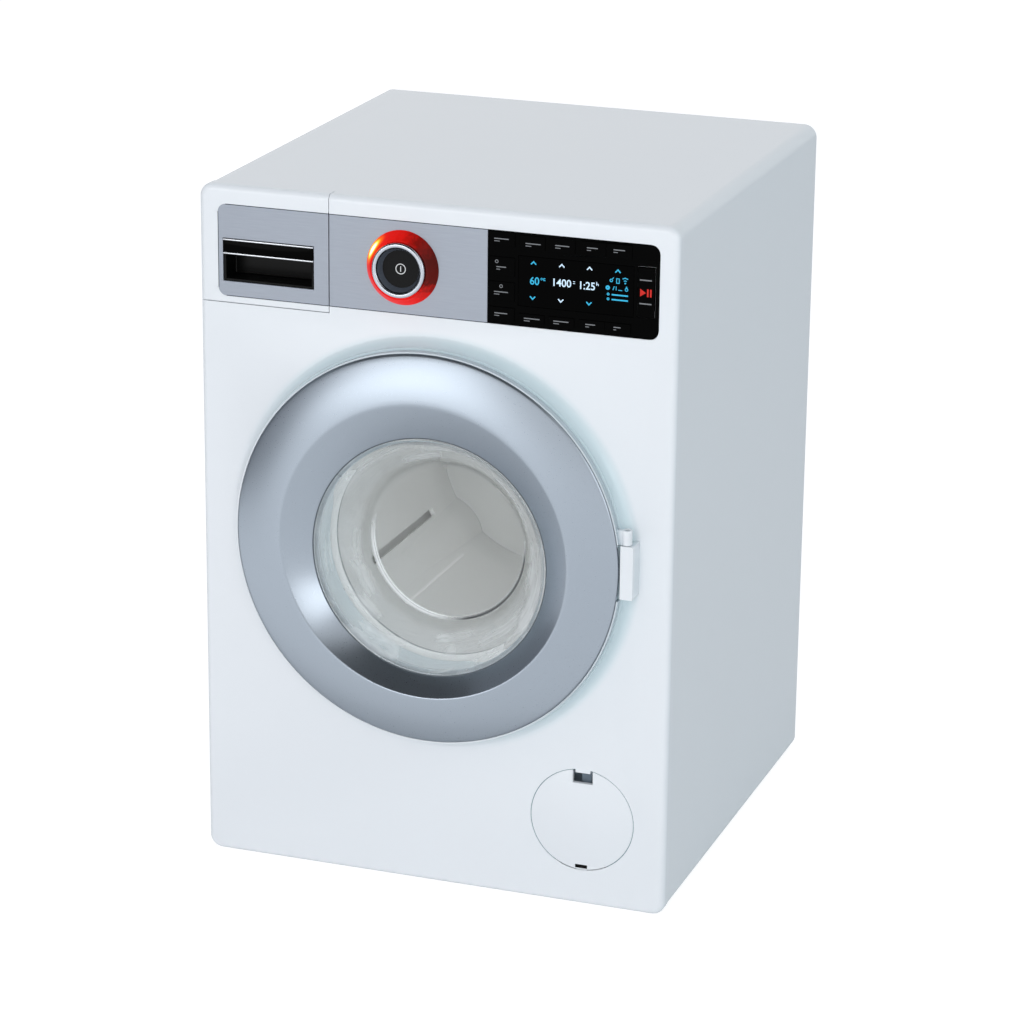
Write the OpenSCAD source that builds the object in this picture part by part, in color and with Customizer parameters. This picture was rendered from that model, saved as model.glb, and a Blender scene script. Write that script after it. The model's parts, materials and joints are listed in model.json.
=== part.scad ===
// Toy washing machine with a hinged door, a turning drum, a detergent drawer,
// a lit selector dial, a start key and a filter flap. Millimetres.
// +Z is up and the front faces -Y. The origin lies on the ground below the
// middle of the whole machine. Most pieces are drawn in front space: x to the
// right, y up, and z out of the front face towards the viewer.

/* [Housing] */
// Width of the housing
body_w = 182; // [180:1:200]
// Height of the housing
body_h = 260; // [245:1:275]
// Depth of the housing, without the door that stands proud of it
body_d = 180; // [178:1:200]
// Radius of the four long edges
corner_r = 5; // [4.8:0.1:7]
// Radius that turns the front face into its sides
edge_r = 2.2; // [1:0.1:2.3]
// Depth of the front panel's rim, back to the seam with the shell
rim_d = 6; // [5.5:0.5:8]
// Thickness of the moulded housing walls
wall = 2.5; // [2.2:0.1:3]
// How far the shell's sides step in from the front panel
seam_step = 0.25; // [0.1:0.05:0.5]
// Width of the visible seams
seam = 0.3; // [0.2:0.05:0.4]
// Thickness of the lip that locates the front panel inside the shell
lip_t = 1.8; // [1.4:0.1:2]
// Length of that lip behind the rim
lip_l = 6; // [4:0.5:8]
// Gap between pieces that are fitted together by hand
fit = 0.2; // [0.1:0.05:0.3]

/* [Fascia] */
// Margin from the housing's left side to the silver inlay
inlay_left = 6.6; // [6:0.2:9]
// Margin from the housing's right side to the display
display_right = 7.1; // [6:0.2:9]
// Margin from the top to the inlay
inlay_top = 7.1; // [6:0.2:9]
// Height of the inlay and of the display
inlay_h = 33.9; // [33:0.2:36]
// Depth of the recess that holds the inlay and the display
inlay_t = 1.2; // [1:0.1:1.4]
// Radius of the inlay's outer corners
inlay_r = 3; // [2:0.5:4]
// Width of the display
display_w = 63.5; // [62:0.5:66]
// How far the display stands proud of the front
display_out = 0.2; // [0.1:0.05:0.4]
// Height of the raised keys above the display
key_out = 0.4; // [0.2:0.1:0.6]
// Width of the groove round a key
key_gap = 0.5; // [0.3:0.1:0.7]
// Travel of the start key
start_travel = 0.8; // [0.5:0.1:0.9]

/* [Dial] */
// Distance from the drawer's seam to the dial's centre
dial_from_seam = 28.4; // [26:0.2:30]
// Radius of the light ring where it meets the inlay
light_r = 14.75; // [14:0.25:15.5]
// Radius of the chrome ring
dial_r = 11; // [10.5:0.1:11.5]
// Width of the chrome ring's rim
dial_rim = 1.8; // [1.4:0.1:2.2]
// Height of the light ring above the inlay
light_out = 4.3; // [3.5:0.1:5]
// How far the chrome ring stands above the light ring
dial_proud = 0.9; // [0.6:0.1:1.4]
// Travel of the power button in the middle of the dial
power_travel = 1; // [0.6:0.1:1]

/* [Drawer] */
// Width of the drawer's front
drawer_w = 50.7; // [50:0.1:54]
// Height of the drawer's front, down from the top of the housing
drawer_h = 43.6; // [43:0.1:45]
// Height of the tray behind the drawer's front
tray_h = 30; // [26:1:30]
// Length of the tray, measured from the front face
tray_l = 78; // [60:1:90]
// Thickness of the tray's walls
tray_t = 1.5; // [1.2:0.1:2]
// Clearance round the tray in its sleeve
tray_gap = 0.5; // [0.4:0.05:0.6]
// Width of the handle's pocket
handle_w = 35.4; // [32:0.2:35.6]
// Height of the handle's pocket
handle_h = 15.8; // [14:0.2:17]
// Height of the bar across the top of the pocket
bar_h = 5.7; // [5:0.1:6.5]
// Depth of the pocket
handle_d = 9; // [7:0.5:10]

/* [Door] */
// Distance from the top of the housing down to the silver ring's centre
door_below = 126.6; // [126:0.2:130]
// Outer radius of the silver ring
ring_r = 73.6; // [72:0.2:74]
// Radius of the ridge round the ring's bevel
ridge_r = 55.5; // [55:0.1:57]
// Radius of the visible glass
glass_r = 45.5; // [44.5:0.1:46]
// How far the glass lies below the ring's centre
glass_drop = 4; // [3:0.2:4.4]
// How far the ridge stands proud of the front face
door_out = 11.8; // [11.5:0.1:13]
// How far the ring's edge stands proud of the front face
ring_out = 8.5; // [8.3:0.1:9]
// How far the glass's edge stands proud of the front face
glass_out = 4.7; // [4.5:0.1:5]
// Depth of the bowl's back behind the front face
bowl_d = 18; // [14:0.5:19]
// Radius of the bowl's flat back
bowl_r = 31; // [26:0.5:33]
// Thickness of the bowl
bowl_t = 1.8; // [1.5:0.1:2.2]
// How far the raised surround's face reaches past the silver ring
surround_rim = 1.4; // [1.2:0.1:2]
// How far the surround stands proud of the front face
surround_out = 5; // [4.8:0.1:5.2]
// Radius of the hollow flare that runs the surround into the front face
flare_r = 4.6; // [3.6:0.1:5]
// Running gap between the closed door and the surround
door_gap = 0.3; // [0.2:0.05:0.5]

/* [Door hinge] */
// Distance of the hinge pin from the silver ring's edge
hinge_off = 2.4; // [2.3:0.1:2.8]
// How far the hinge pin stands proud of the front face
hinge_out = 6; // [5.9:0.1:6.2]
// Radius of the hinge pin
hinge_pin_r = 0.9; // [0.8:0.05:1]
// Height of the hinge block
hinge_block_h = 20; // [16:0.5:22]
// Width of the hinge block
hinge_block_w = 4.7; // [4.6:0.1:5]
// Height of the door's lug on top of the block
hinge_lug_h = 5.4; // [4:0.2:6]
// Radial clearance of a pin or shaft that turns
run_fit = 0.05; // [0.03:0.01:0.08]

/* [Drum] */
// Inner radius of the drum
drum_r = 45; // [44:0.5:46]
// Radius of the drum's mouth
mouth_r = 43.4; // [42:0.2:43.8]
// Thickness of the drum's wall
drum_t = 1.8; // [1.5:0.1:2]
// Depth of the drum's mouth behind the front face
drum_front = 12.6; // [12.4:0.1:13.5]
// Inner length of the drum
drum_l = 118; // [100:1:119]
// Height of a lifter above the drum's wall
lifter_h = 3; // [2:0.2:5]
// Radius of the lifter's rounded back
lifter_round = 18; // [14:1:24]
// Number of lifters
lifters = 3; // [2:1:4]
// Width of the slot beside a lifter
slot_w = 3; // [2:0.5:4]
// Length of that slot
slot_l = 66; // [40:2:70]
// Clearance between the drum and the tub
tub_gap = 2.7; // [2:0.1:3.5]
// Thickness of the tub's wall
tub_t = 2.2; // [1.8:0.1:2.6]
// Radius of the drum's shaft
shaft_r = 3; // [2.5:0.25:4]

/* [Gears] */
// Module of the drum's gear and of the pinion that drives it
drum_module = 1; // [0.9:0.05:1]
// Teeth of the drum's gear
drum_teeth = 60; // [56:1:60]
// Teeth of the compound gear's small wheel
small_teeth = 14; // [14:1:16]
// Module of the compound gear's large wheel and of the motor's pinion
motor_module = 0.8; // [0.8:0.05:0.9]
// Teeth of the compound gear's large wheel
large_teeth = 50; // [50:1:54]
// Teeth of the motor's pinion
pinion_teeth = 10; // [10:1:12]
// Face width of the drum's gear
drum_gear_t = 5; // [4:0.5:6]
// Face width of the compound gear's large wheel
large_gear_t = 3; // [2.5:0.5:4]
// Radius of the compound gear's steel axle
axle_r = 1; // [0.8:0.1:1.2]

/* [Filter flap] */
// Distance of the flap's centre from the housing's right side
flap_right = 32.1; // [30:0.2:36]
// Height of the flap's centre above the ground
flap_z = 33.8; // [30:0.2:36]
// Radius of the flap
flap_r = 19.8; // [18:0.2:20.4]
// Thickness of the flap
flap_t = 2; // [1.8:0.1:2.4]
// Width of the finger slot in the flap
flap_slot_w = 7.7; // [6:0.1:9]
// Height of the finger slot
flap_slot_h = 4.3; // [3.5:0.1:5]
// Radius of the hinge bar at the flap's foot
flap_bar_r = 0.65; // [0.6:0.05:0.7]
// Length of the hinge bar
flap_bar_l = 4.7; // [4:0.1:6]
// Depth of the well behind the flap
well_d = 14; // [12:0.5:18]

/* [Power] */
// Radius of a battery cell
cell_r = 7.1; // [7:0.05:7.2]
// Length of a battery cell
cell_l = 49; // [48:0.5:50]
// Number of battery cells
cells = 3; // [2:1:3]
// Radius of the loudspeaker
speaker_r = 20; // [16:1:22]
// Radius of the screws' shanks
screw_r = 1.25; // [1:0.05:1.4]

/* [Hidden] */
$fn = 72;
EPS = 0.01;
WHITE = [0.91, 0.93, 0.95];
SILVER = [0.68, 0.70, 0.74];
BLACK = [0.05, 0.05, 0.06];
CHROME = [0.8, 0.81, 0.83];
STEEL = [0.6, 0.61, 0.63];
BRASS = [0.75, 0.6, 0.3];

// Housing
front_y = (door_out - body_d) / 2;
half_w = body_w / 2;
shell_half = half_w - seam_step;
shell_top = body_h - seam_step;
shell_front = -rim_d - seam;
shell_back = -body_d;
lip_inset = wall + seam_step + fit;
lip_back = -rim_d - lip_l;
post_r = 3.5;
post_l = 24;
post_inset = wall + seam_step + post_r + 2.2;
head_r = 2.6;
head_t = 1.6;

// Fascia and drawer
split_x = -half_w + drawer_w;
split_z = body_h - drawer_h;
inlay_x0 = -half_w + inlay_left;
inlay_z1 = body_h - inlay_top;
inlay_z0 = inlay_z1 - inlay_h;
inlay_mid = (inlay_z0 + inlay_z1) / 2;
display_x1 = half_w - display_right;
display_x0 = display_x1 - display_w;
dial_x = split_x + dial_from_seam;
bay_t = 2;
bay_back = shell_front - bay_t;
tray_x0 = -half_w + lip_inset + lip_t + tray_t + 2 * fit + tray_gap;
tray_x1 = split_x - fit - tray_gap - tray_t - 1.4;
tray_z0 = split_z + 3.6;
bay_foot = 4.4;
sleeve_screw_drop = 1.1;
handle_mid = (tray_x0 + tray_x1) / 2 - 0.1;
handle_z0 = inlay_z0 + 5.5;
front_t = 2.4;
divider_t = 1.2;
cup_wall = 1.5;
cup_t = 1;
sleeve_t = 1.5;
sleeve_foot_t = 2;

// Display: bottom and height of the keys in the left column, left edges of
// those in the rows, and the screen's edges
COLUMN_KEYS = [[28.7, 4.9], [17.8, 6.8], [8.7, 6.9], [1.3, 5]];
KEY_ROW_X = [11.9, 23, 34.4, 44];
key_col_w = 9.7;
key_row_w = 9.5;
key_top_h = 5;
key_foot_h = 3.4;
screen_x0 = 11.4;
screen_x1 = 54.3;
screen_z0 = 7.4;
screen_z1 = 25.8;

// Circuit board
board_t = 1.6;
board_front = -12;
board_x0 = split_x + 6;
board_x1 = display_x1 - 3;
board_z0 = inlay_z0 - 10;
board_z1 = body_h - lip_inset - lip_t - 1.6;
board_post_r = 2.4;
board_inset = 4;
switch_h = 1.4;
start_w = 6.2;
start_h = 18;
start_x = display_x1 - 4.6;
stem_w = 3;
encoder_w = 14;
encoder_t = 5.5;

// Dial
light_wall_gap = 0.3;
light_bore = dial_r + light_wall_gap;
light_spigot = light_r - 1.35;
hub_r = 3.4;
stem_r = 1.8;
stem_fit = 0.1;
web_t = 1.5;
dial_out = light_out + dial_proud;
button_r = dial_r - dial_rim - light_wall_gap;
led_ring_r = (light_bore + light_spigot) / 2;

// Door
door_z = body_h - door_below;
surround_r = ring_r + surround_rim;
hinge_x = ring_r + hinge_off;
axis_z = door_z - glass_drop;
bowl_slope = (glass_r - 1.3 - bowl_r) / (bowl_d + 1.7);
bowl_edge = 1.8;
plate_back = surround_out + door_gap;
plate_front = ring_out - 1.2;
frame_r = ring_r + 0.7;
collar_r = 53.6;
collar_back = 0.4;
opening_r = collar_r + 0.9;
seat_d = 1.7;
flange_t = 1.9;
flange_r = glass_r + 2.5;
seat_r = flange_r + fit;
throat_r = glass_r - 1.3;
neck_r0 = glass_r + 4;
neck_r1 = drum_r + 0.4;
neck_back = -drum_front + 1.6;
neck_flange_r = drum_r + 7;
block_z1 = door_z + 0.9 + hinge_block_h / 2;
block_z0 = block_z1 - hinge_block_h;
block_x0 = hinge_x - 1.8;
block_out = hinge_out + 2;
lug_r = 1.9;
lug_gap = 0.3;
notch_r = 3.6;
catch_x = -66;
catch_h = 8;
catch_t = 2;

// Drum, tub and gears
LIFTER_DIR = -139.5;
SLOT_DIR = -152.8;
slot_start = 28;
lifter_l = drum_l - 16;
drum_out_r = drum_r + drum_t;
drum_back = -drum_front - drum_l;
tub_r = drum_out_r + tub_gap;
tub_out_r = tub_r + tub_t;
tub_front = neck_back - 2;
tub_wall_front = drum_back - drum_t - 1.6;
tub_wall_back = tub_wall_front - 2.4;
ear_r = tub_out_r + 8.3;
bush_r = shaft_r + 2.5;
boss_r = bush_r + 2.2;
boss_back = tub_wall_back - 3.4;
base_t = 2.5;
gear_base_back = tub_wall_back - base_t;
drum_gear_front = boss_back - 0.7;
drum_gear_back = drum_gear_front - drum_gear_t;
large_front = drum_gear_back - 0.8;
large_back = large_front - large_gear_t;
gear_cover_front = large_back - 1.5;
cover_t = 2;
gear_cover_back = gear_cover_front - cover_t;
GEAR_DIR = -50;
centre_slack = 0.06;
drum_pitch = drum_module * drum_teeth / 2;
stage_1 = drum_module * (drum_teeth + small_teeth) / 2 + centre_slack;
stage_2 = motor_module * (large_teeth + pinion_teeth) / 2 + centre_slack;
motor_dist = stage_1 + stage_2;
motor_w = 20;
motor_flat = 15;
motor_l = 25;
socket_t = 1.6;
socket_h = 5;
plate_end_r = 13;
rotor_r = 1;
PILLARS = [20, 110, 180, 245];
pillar_dist = drum_pitch + drum_module + 4.5;
pillar_r = 2.6;

// Flap
flap_x = half_w - flap_right;
flap_gap = 0.2;
flap_axis_z = flap_z - flap_r + flap_bar_r;
flap_slot_top = flap_z + flap_r - 1.3;
hook_r = flap_bar_r + 0.95;

// Battery box
box_w = cell_l + 8;
box_h = cells * (2 * cell_r + 0.4) + 1;
box_z0 = 14;
box_t = 1.5;
box_d = 2 * cell_r + 0.8;
cover_back = -body_d;
cover_front = cover_back + wall;
box_front = cover_front + box_d - 0.4;
hatch_rim = 3;
hatch_t = 1.6;
ear_z = box_z0 + box_h + hatch_rim + 2;
ear_t = 3.2;
hatch_ear_r = 4.5;
speaker_z = body_h - 48;
speaker_l = 12;

// ---------------------------------------------------------------- placing

// Puts front-space children so that their z = 0 lies d in front of the face
module front(d = 0) translate([0, front_y - d, 0]) rotate([90, 0, 0]) children();

// Front space centred on the drum's axis
module on_axis(d = 0) front(d) translate([0, axis_z, 0]) children();

// Front space centred on the silver ring
module on_ring(d = 0) front(d) translate([0, door_z, 0]) children();

// Front space centred on the dial
module on_dial(d = 0) front(d) translate([dial_x, inlay_mid, 0]) children();

// Front space centred on the flap
module on_flap(d = 0) front(d) translate([flap_x, flap_z, 0]) children();

// Upright axis of the door's hinge
module on_hinge(z) translate([hinge_x, front_y - hinge_out, z]) children();

// A bar of front space between two depths
module slab(x0, y0, x1, y1, d0, d1) front(d0) translate([x0, y0, 0]) cube([x1 - x0, y1 - y0, d1 - d0]);

// ---------------------------------------------------------------- shapes

module rounded_rect(x0, y0, x1, y1, r) {
  translate([x0 + r, y0]) square([x1 - x0 - 2 * r, y1 - y0]);
  translate([x0, y0 + r]) square([x1 - x0, y1 - y0 - 2 * r]);
  for (x = [x0 + r, x1 - r], y = [y0 + r, y1 - r]) translate([x, y]) circle(r);
}

// A rounded plate of thickness t whose front edges are rounded too
module soft_slab(x0, y0, x1, y1, r, e, t) {
  linear_extrude(t - e) rounded_rect(x0, y0, x1, y1, r);
  linear_extrude(t) rounded_rect(x0 + e, y0 + e, x1 - e, y1 - e, r - e);
  for (y = [y0 + e, y1 - e]) translate([x0 + r, y, t - e]) rotate([0, 90, 0]) cylinder(r = e, h = x1 - x0 - 2 * r);
  for (x = [x0 + e, x1 - e]) translate([x, y0 + r, t - e]) rotate([-90, 0, 0]) cylinder(r = e, h = y1 - y0 - 2 * r);
  for (x = [x0 + r, x1 - r], y = [y0 + r, y1 - r]) translate([x, y, t - e])
    rotate_extrude() translate([r - e, 0]) circle(e);
}

// A tube that stands on z = 0
module tube(r_out, r_in, h) difference() {
  cylinder(r = r_out, h = h);
  translate([0, 0, -1]) cylinder(r = r_in, h = h + 2);
}

// A pan-head screw whose head starts at z = 0 and whose shank points to -z
module screw(l) {
  difference() {
    cylinder(r = head_r - 0.2, h = head_t);
    for (a = [0, 90]) rotate(a) translate([-1.5, -0.3, head_t - 0.8]) cube([3, 0.6, 1]);
  }
  translate([0, 0, -l]) cylinder(r = screw_r, h = l + EPS);
}

// Involute angle in degrees at radius r of a gear whose base circle is rb
function involute(r, rb) = let(a = acos(min(1, rb / r))) tan(a) * 180 / PI - a;

// One spur gear outline: z teeth of module m and addendum add * m, with a
// tooth centred on +x
module gear_outline(m, z, add = 0.95, slack = 0.05) {
  rp = m * z / 2;
  rb = rp * cos(20);
  ra = rp + m * add;
  rf = rp - 1.2 * m;
  rs = max(rb, rf);
  half = 90 / z - slack / rp * 180 / PI;
  steps = 3;
  flank = [for (i = [0:steps]) let(r = rs + (ra - rs) * i / steps)
    [r, half + involute(rp, rb) - involute(r, rb)]];
  polygon([for (k = [0:z - 1]) let(c = k * 360 / z) each concat(
    [[rf * cos(c - flank[0][1] - 0.5), rf * sin(c - flank[0][1] - 0.5)]],
    [for (p = flank) [p[0] * cos(c - p[1]), p[0] * sin(c - p[1])]],
    [for (i = [steps:-1:0]) [flank[i][0] * cos(c + flank[i][1]), flank[i][0] * sin(c + flank[i][1])]],
    [[rf * cos(c + flank[0][1] + 0.5), rf * sin(c + flank[0][1] + 0.5)]])]);
}

// ---------------------------------------------------------------- housing

// Where the drawer's front replaces the panel's corner
module drawer_corner(grow, d0, d1)
  slab(-half_w - 1, split_z - grow, split_x + grow, body_h + 1, d0, d1);

module panel_skin() difference() {
  front(-rim_d) soft_slab(-half_w, 0, half_w, body_h, corner_r, edge_r, rim_d);
  front(-rim_d - 1) linear_extrude(1 + rim_d - wall)
    rounded_rect(-half_w + wall, wall, half_w - wall, body_h - wall, corner_r - wall / 2);
}

module locating_lip() front(lip_back) linear_extrude(lip_l + rim_d - wall + EPS) difference() {
  rounded_rect(-half_w + lip_inset, lip_inset, half_w - lip_inset, body_h - lip_inset, 3);
  rounded_rect(-half_w + lip_inset + lip_t, lip_inset + lip_t, half_w - lip_inset - lip_t,
    body_h - lip_inset - lip_t, 1.2);
}

// The lip's web that closes the step between lip and rim
module lip_web() front(-rim_d + 1) linear_extrude(rim_d - wall) difference() {
  rounded_rect(-half_w + wall / 2, wall / 2, half_w - wall / 2, body_h - wall / 2, corner_r - 1);
  rounded_rect(-half_w + lip_inset + lip_t, lip_inset + lip_t, half_w - lip_inset - lip_t,
    body_h - lip_inset - lip_t, 1.2);
}

// Wall and returns behind the drawer's front, which carry the sleeve
module drawer_bay() intersection() {
  front(bay_back) linear_extrude(-bay_back)
    rounded_rect(-half_w + lip_inset, lip_inset, half_w - lip_inset, body_h - lip_inset, 3);
  union() {
    slab(-half_w, split_z - bay_foot, split_x + bay_t, body_h, bay_back, shell_front);
    slab(split_x + seam / 2, split_z - bay_t, split_x + bay_t, body_h, bay_back, -wall / 2);
    slab(-half_w, split_z - bay_t, split_x + bay_t, split_z - seam / 2, bay_back, -wall / 2);
  }
}

// Raised ring round the door, with a hollow flare down to the front face
module surround() on_ring() rotate_extrude() difference() {
  translate([0, -wall]) square([surround_r + flare_r, surround_out + wall]);
  translate([surround_r + flare_r, flare_r - 0.15]) circle(flare_r);
  translate([surround_r, flare_r - 0.15]) square([flare_r + 1, surround_out]);
}

module neck() on_axis(neck_back) {
  cylinder(r1 = neck_r1 + 2.4, r2 = neck_r0 + 2.4, h = -neck_back + EPS);
  cylinder(r = neck_flange_r, h = 1.6);
}

// Void through the surround and the neck
module neck_void() on_axis() {
  translate([0, 0, neck_back - 1]) cylinder(r = neck_r1, h = 1 + EPS);
  translate([0, 0, neck_back]) cylinder(r1 = neck_r1, r2 = neck_r0, h = -neck_back + EPS);
  cylinder(r = opening_r, h = surround_out + 1);
}

// Hollow behind the surround's face
module surround_hollow() on_ring(-wall - 1) difference() {
  cylinder(r = surround_r - wall, h = surround_out + 1);
  translate([0, -glass_drop, -1]) cylinder(r = opening_r + 1.6, h = surround_out + 3);
}

module hinge_block() slab(block_x0, block_z0, block_x0 + hinge_block_w, block_z1, -wall, block_out);

module flap_well() on_flap(-well_d - 1.6) cylinder(r = flap_r + flap_gap + 1.6, h = well_d + 1.6 - wall / 2);

module flap_hook() translate([flap_x - flap_bar_l / 2 + 0.2, front_y + flap_bar_r, flap_axis_z])
  rotate([0, 90, 0]) difference() {
    cylinder(r = hook_r, h = flap_bar_l - 0.4);
    translate([0, 0, -1]) cylinder(r = flap_bar_r + run_fit, h = flap_bar_l + 2);
    translate([-hook_r - 1, -hook_r - 1, -1]) cube([2 * hook_r + 2, hook_r + 1, flap_bar_l + 2]);
  }

module flap_relief() translate([flap_x - 8.5, front_y + flap_bar_r, flap_axis_z])
  rotate([0, 90, 0]) cylinder(r = flap_bar_r + 0.45, h = 17);

module at_ears() for (a = [45:90:315]) rotate(a) translate([ear_r, 0, 0]) children();

module at_board_posts() for (x = [board_x0 + board_inset, board_x1 - board_inset],
  y = [board_z0 + board_inset, board_z1 - board_inset]) translate([x, y, 0]) children();

module at_sleeve_screws() for (x = [tray_x0 + 8, tray_x1 - 8])
  translate([x, split_z - sleeve_screw_drop, 0]) children();

module front_panel() color(WHITE) {
  difference() {
    union() {
      difference() {
        union() {
          panel_skin();
          locating_lip();
          lip_web();
        }
        drawer_corner(seam / 2, shell_front, 1);
        slab(inlay_x0 - fit, inlay_z0 - fit, display_x1 + fit, inlay_z1 + fit, -inlay_t, 1);
      }
      drawer_bay();
      surround();
      neck();
      flap_well();
      on_axis(tub_front) at_ears() cylinder(r = 3.4, h = surround_out - tub_front - 1);
      front(board_front) at_board_posts() cylinder(r = board_post_r, h = -board_front - inlay_t - EPS);
    }
    surround_hollow_clear();
    neck_void();
    on_flap(-well_d) cylinder(r = flap_r + flap_gap, h = well_d + 1);
    flap_relief();
    slab(tray_x0 - tray_gap, tray_z0 - tray_gap, tray_x1 + tray_gap, tray_z0 + tray_h + tray_gap,
      bay_back - 1, shell_front + 1);
    on_dial(-wall - 1) cylinder(r = light_spigot + fit, h = wall + 1);
    slab(start_x - stem_w / 2 - 0.3, inlay_mid - stem_w / 2 - 0.3, start_x + stem_w / 2 + 0.3,
      inlay_mid + stem_w / 2 + 0.3, -wall - 1, 1);
    on_axis(tub_front - 1) at_ears() cylinder(r = screw_r, h = 9);
    front(board_front - 1) at_board_posts() cylinder(r = screw_r, h = 6);
    front(bay_back - 1) at_sleeve_screws() cylinder(r = screw_r, h = 1 + bay_t - 0.4);
    slab(catch_x - catch_t / 2 - 0.8, door_z - catch_h / 2 - 0.8, catch_x + catch_t / 2 + 0.8,
      door_z + catch_h / 2 + 0.8, 0, surround_out + 1);
    on_hinge(block_z1) cylinder(r = lug_r + 0.5, h = hinge_lug_h + lug_gap + 1);
  }
  difference() {
    hinge_block();
    on_hinge(block_z0 - 1) cylinder(r = hinge_pin_r, h = hinge_block_h + 2);
    neck_void();
  }
  flap_hook();
}

// Hollow behind the surround, kept clear of the bosses that carry the tub
module surround_hollow_clear() difference() {
  surround_hollow();
  on_axis(-wall - 2) at_ears() cylinder(r = 3.4, h = surround_out + wall + 2);
}

module shell_outline(inset, r) rounded_rect(-shell_half + inset, inset, shell_half - inset, shell_top - inset, r);

module at_cover_posts() for (x = [-half_w + post_inset, half_w - post_inset],
  y = [post_inset, body_h - post_inset]) translate([x, y, 0]) children();

module shell() color(WHITE) difference() {
  union() {
    front(shell_back) linear_extrude(shell_front - shell_back) difference() {
      shell_outline(0, corner_r);
      shell_outline(wall, corner_r - wall / 2);
    }
    front(cover_front) at_cover_posts() cylinder(r = post_r, h = post_l);
    for (x = [-1, 1], y = [post_inset, body_h - post_inset])
      slab(min(x * (half_w - post_inset), x * (shell_half - 1)), y - 1,
        max(x * (half_w - post_inset), x * (shell_half - 1)), y + 1, cover_front, cover_front + post_l);
  }
  front(cover_front - 1) at_cover_posts() cylinder(r = screw_r, h = 14);
}

// Opening of the battery box in the cover, grown by g
module battery_bay(g, d0, d1) slab(-box_w / 2 - g, box_z0 - g, box_w / 2 + g, box_z0 + box_h + g, d0, d1);

module speaker_grille() for (i = [-3:3]) let(half = sqrt(pow(speaker_r - 4, 2) - pow(i * 4.4, 2)))
  slab(-half, speaker_z + i * 4.4 - 1, half, speaker_z + i * 4.4 + 1, cover_back - 1, cover_front + 1);

module rear_cover() color(WHITE) difference() {
  union() {
    front(cover_back) linear_extrude(wall) shell_outline(wall + fit, 3);
    battery_bay(box_t, cover_front - EPS, box_front + box_t);
    front(cover_front - EPS) translate([0, speaker_z, 0]) tube(speaker_r + fit + 1.6, speaker_r + fit, 6);
    front(cover_front - EPS) translate([0, ear_z, 0]) cylinder(r = hatch_ear_r + 1.7, h = 6);
  }
  battery_bay(0, cover_back - 1, box_front);
  battery_bay(hatch_rim, cover_back - 1, cover_back + hatch_t + fit);
  speaker_grille();
  front(cover_back - 1) at_cover_posts() cylinder(r = screw_r + 0.25, h = wall + 2);
  front(cover_back - 1) at_cover_posts() cylinder(r = head_r, h = 1 + 1.7);
  front(cover_back - 1) translate([0, ear_z, 0]) cylinder(r = hatch_ear_r + fit, h = 1 + ear_t + fit);
  front(cover_back) translate([0, ear_z, 0]) cylinder(r = screw_r, h = 7.5);
}

module battery_cover() color(WHITE) difference() {
  union() {
    slab(-box_w / 2 - hatch_rim + fit, box_z0 - hatch_rim + fit, box_w / 2 + hatch_rim - fit,
      box_z0 + box_h + hatch_rim - fit, cover_back, cover_back + hatch_t);
    slab(-box_w / 2 + fit, box_z0 + fit, box_w / 2 - fit, box_z0 + fit + 1.5, cover_back, cover_front - 0.3);
    front(cover_back) translate([0, ear_z, 0]) cylinder(r = hatch_ear_r, h = ear_t);
  }
  front(cover_back - 1) translate([0, ear_z, 0]) cylinder(r = head_r, h = 1 + 1.7);
  front(cover_back - 1) translate([0, ear_z, 0]) cylinder(r = screw_r + 0.25, h = ear_t + 2);
  for (i = [0:4]) slab(-9, box_z0 + 5 + 2.5 * i, 9, box_z0 + 6 + 2.5 * i, cover_back - 1, cover_back + 0.6);
}

module at_cells() for (i = [0:cells - 1])
  translate([0, box_z0 + 0.5 + (i + 0.5) * (2 * cell_r + 0.4), 0]) children();

module battery_cells() color("seagreen") front(box_front - cell_r - 0.1) at_cells()
  translate([-cell_l / 2, 0, 0]) rotate([0, 90, 0]) {
    cylinder(r = cell_r, h = cell_l - 1);
    cylinder(r = 2.6, h = cell_l);
  }

module battery_contacts() color(STEEL) front(box_front - cell_r - 0.1) at_cells() {
  translate([cell_l / 2 + 0.1, -4, -4]) cube([0.5, 8, 8]);
  translate([box_w / 2 - 0.6, -5, -5]) cube([0.5, 10, 10]);
  translate([cell_l / 2 + 0.5, -4, -4]) cube([box_w / 2 - cell_l / 2 - 0.9, 8, 0.5]);
  translate([-box_w / 2 + 0.1, -5, -5]) cube([0.5, 10, 10]);
  translate([-box_w / 2 + 0.5, 0, 0]) rotate([0, 90, 0])
    cylinder(r1 = 4, r2 = 2.4, h = box_w / 2 - cell_l / 2 - 0.6);
}

module battery_screw() color(STEEL) front(cover_back + 1.7) translate([0, ear_z, 0])
  mirror([0, 0, 1]) screw(5);

module cover_screws() color(STEEL) front(cover_back + 1.7) at_cover_posts() mirror([0, 0, 1]) screw(9);

module speaker() color(BLACK) front(cover_front) translate([0, speaker_z, 0]) {
  tube(speaker_r, speaker_r - 2, 2.5);
  translate([0, 0, 2.4]) difference() {
    cylinder(r1 = speaker_r, r2 = 10, h = 5);
    translate([0, 0, -0.6]) cylinder(r1 = speaker_r - 1.2, r2 = 8, h = 5);
  }
  translate([0, 0, 7.3]) cylinder(r = 10, h = speaker_l - 7.3);
}

// ---------------------------------------------------------------- drum unit

// Flange round the tub's mouth, with four ears for the screws
module tub_flange_outline() {
  circle(tub_out_r + 2.6);
  at_ears() circle(4.4);
  for (a = [45:90:315]) rotate(a) translate([tub_r + 1, -3.6]) square([ear_r - tub_r, 7.2]);
}

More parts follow.
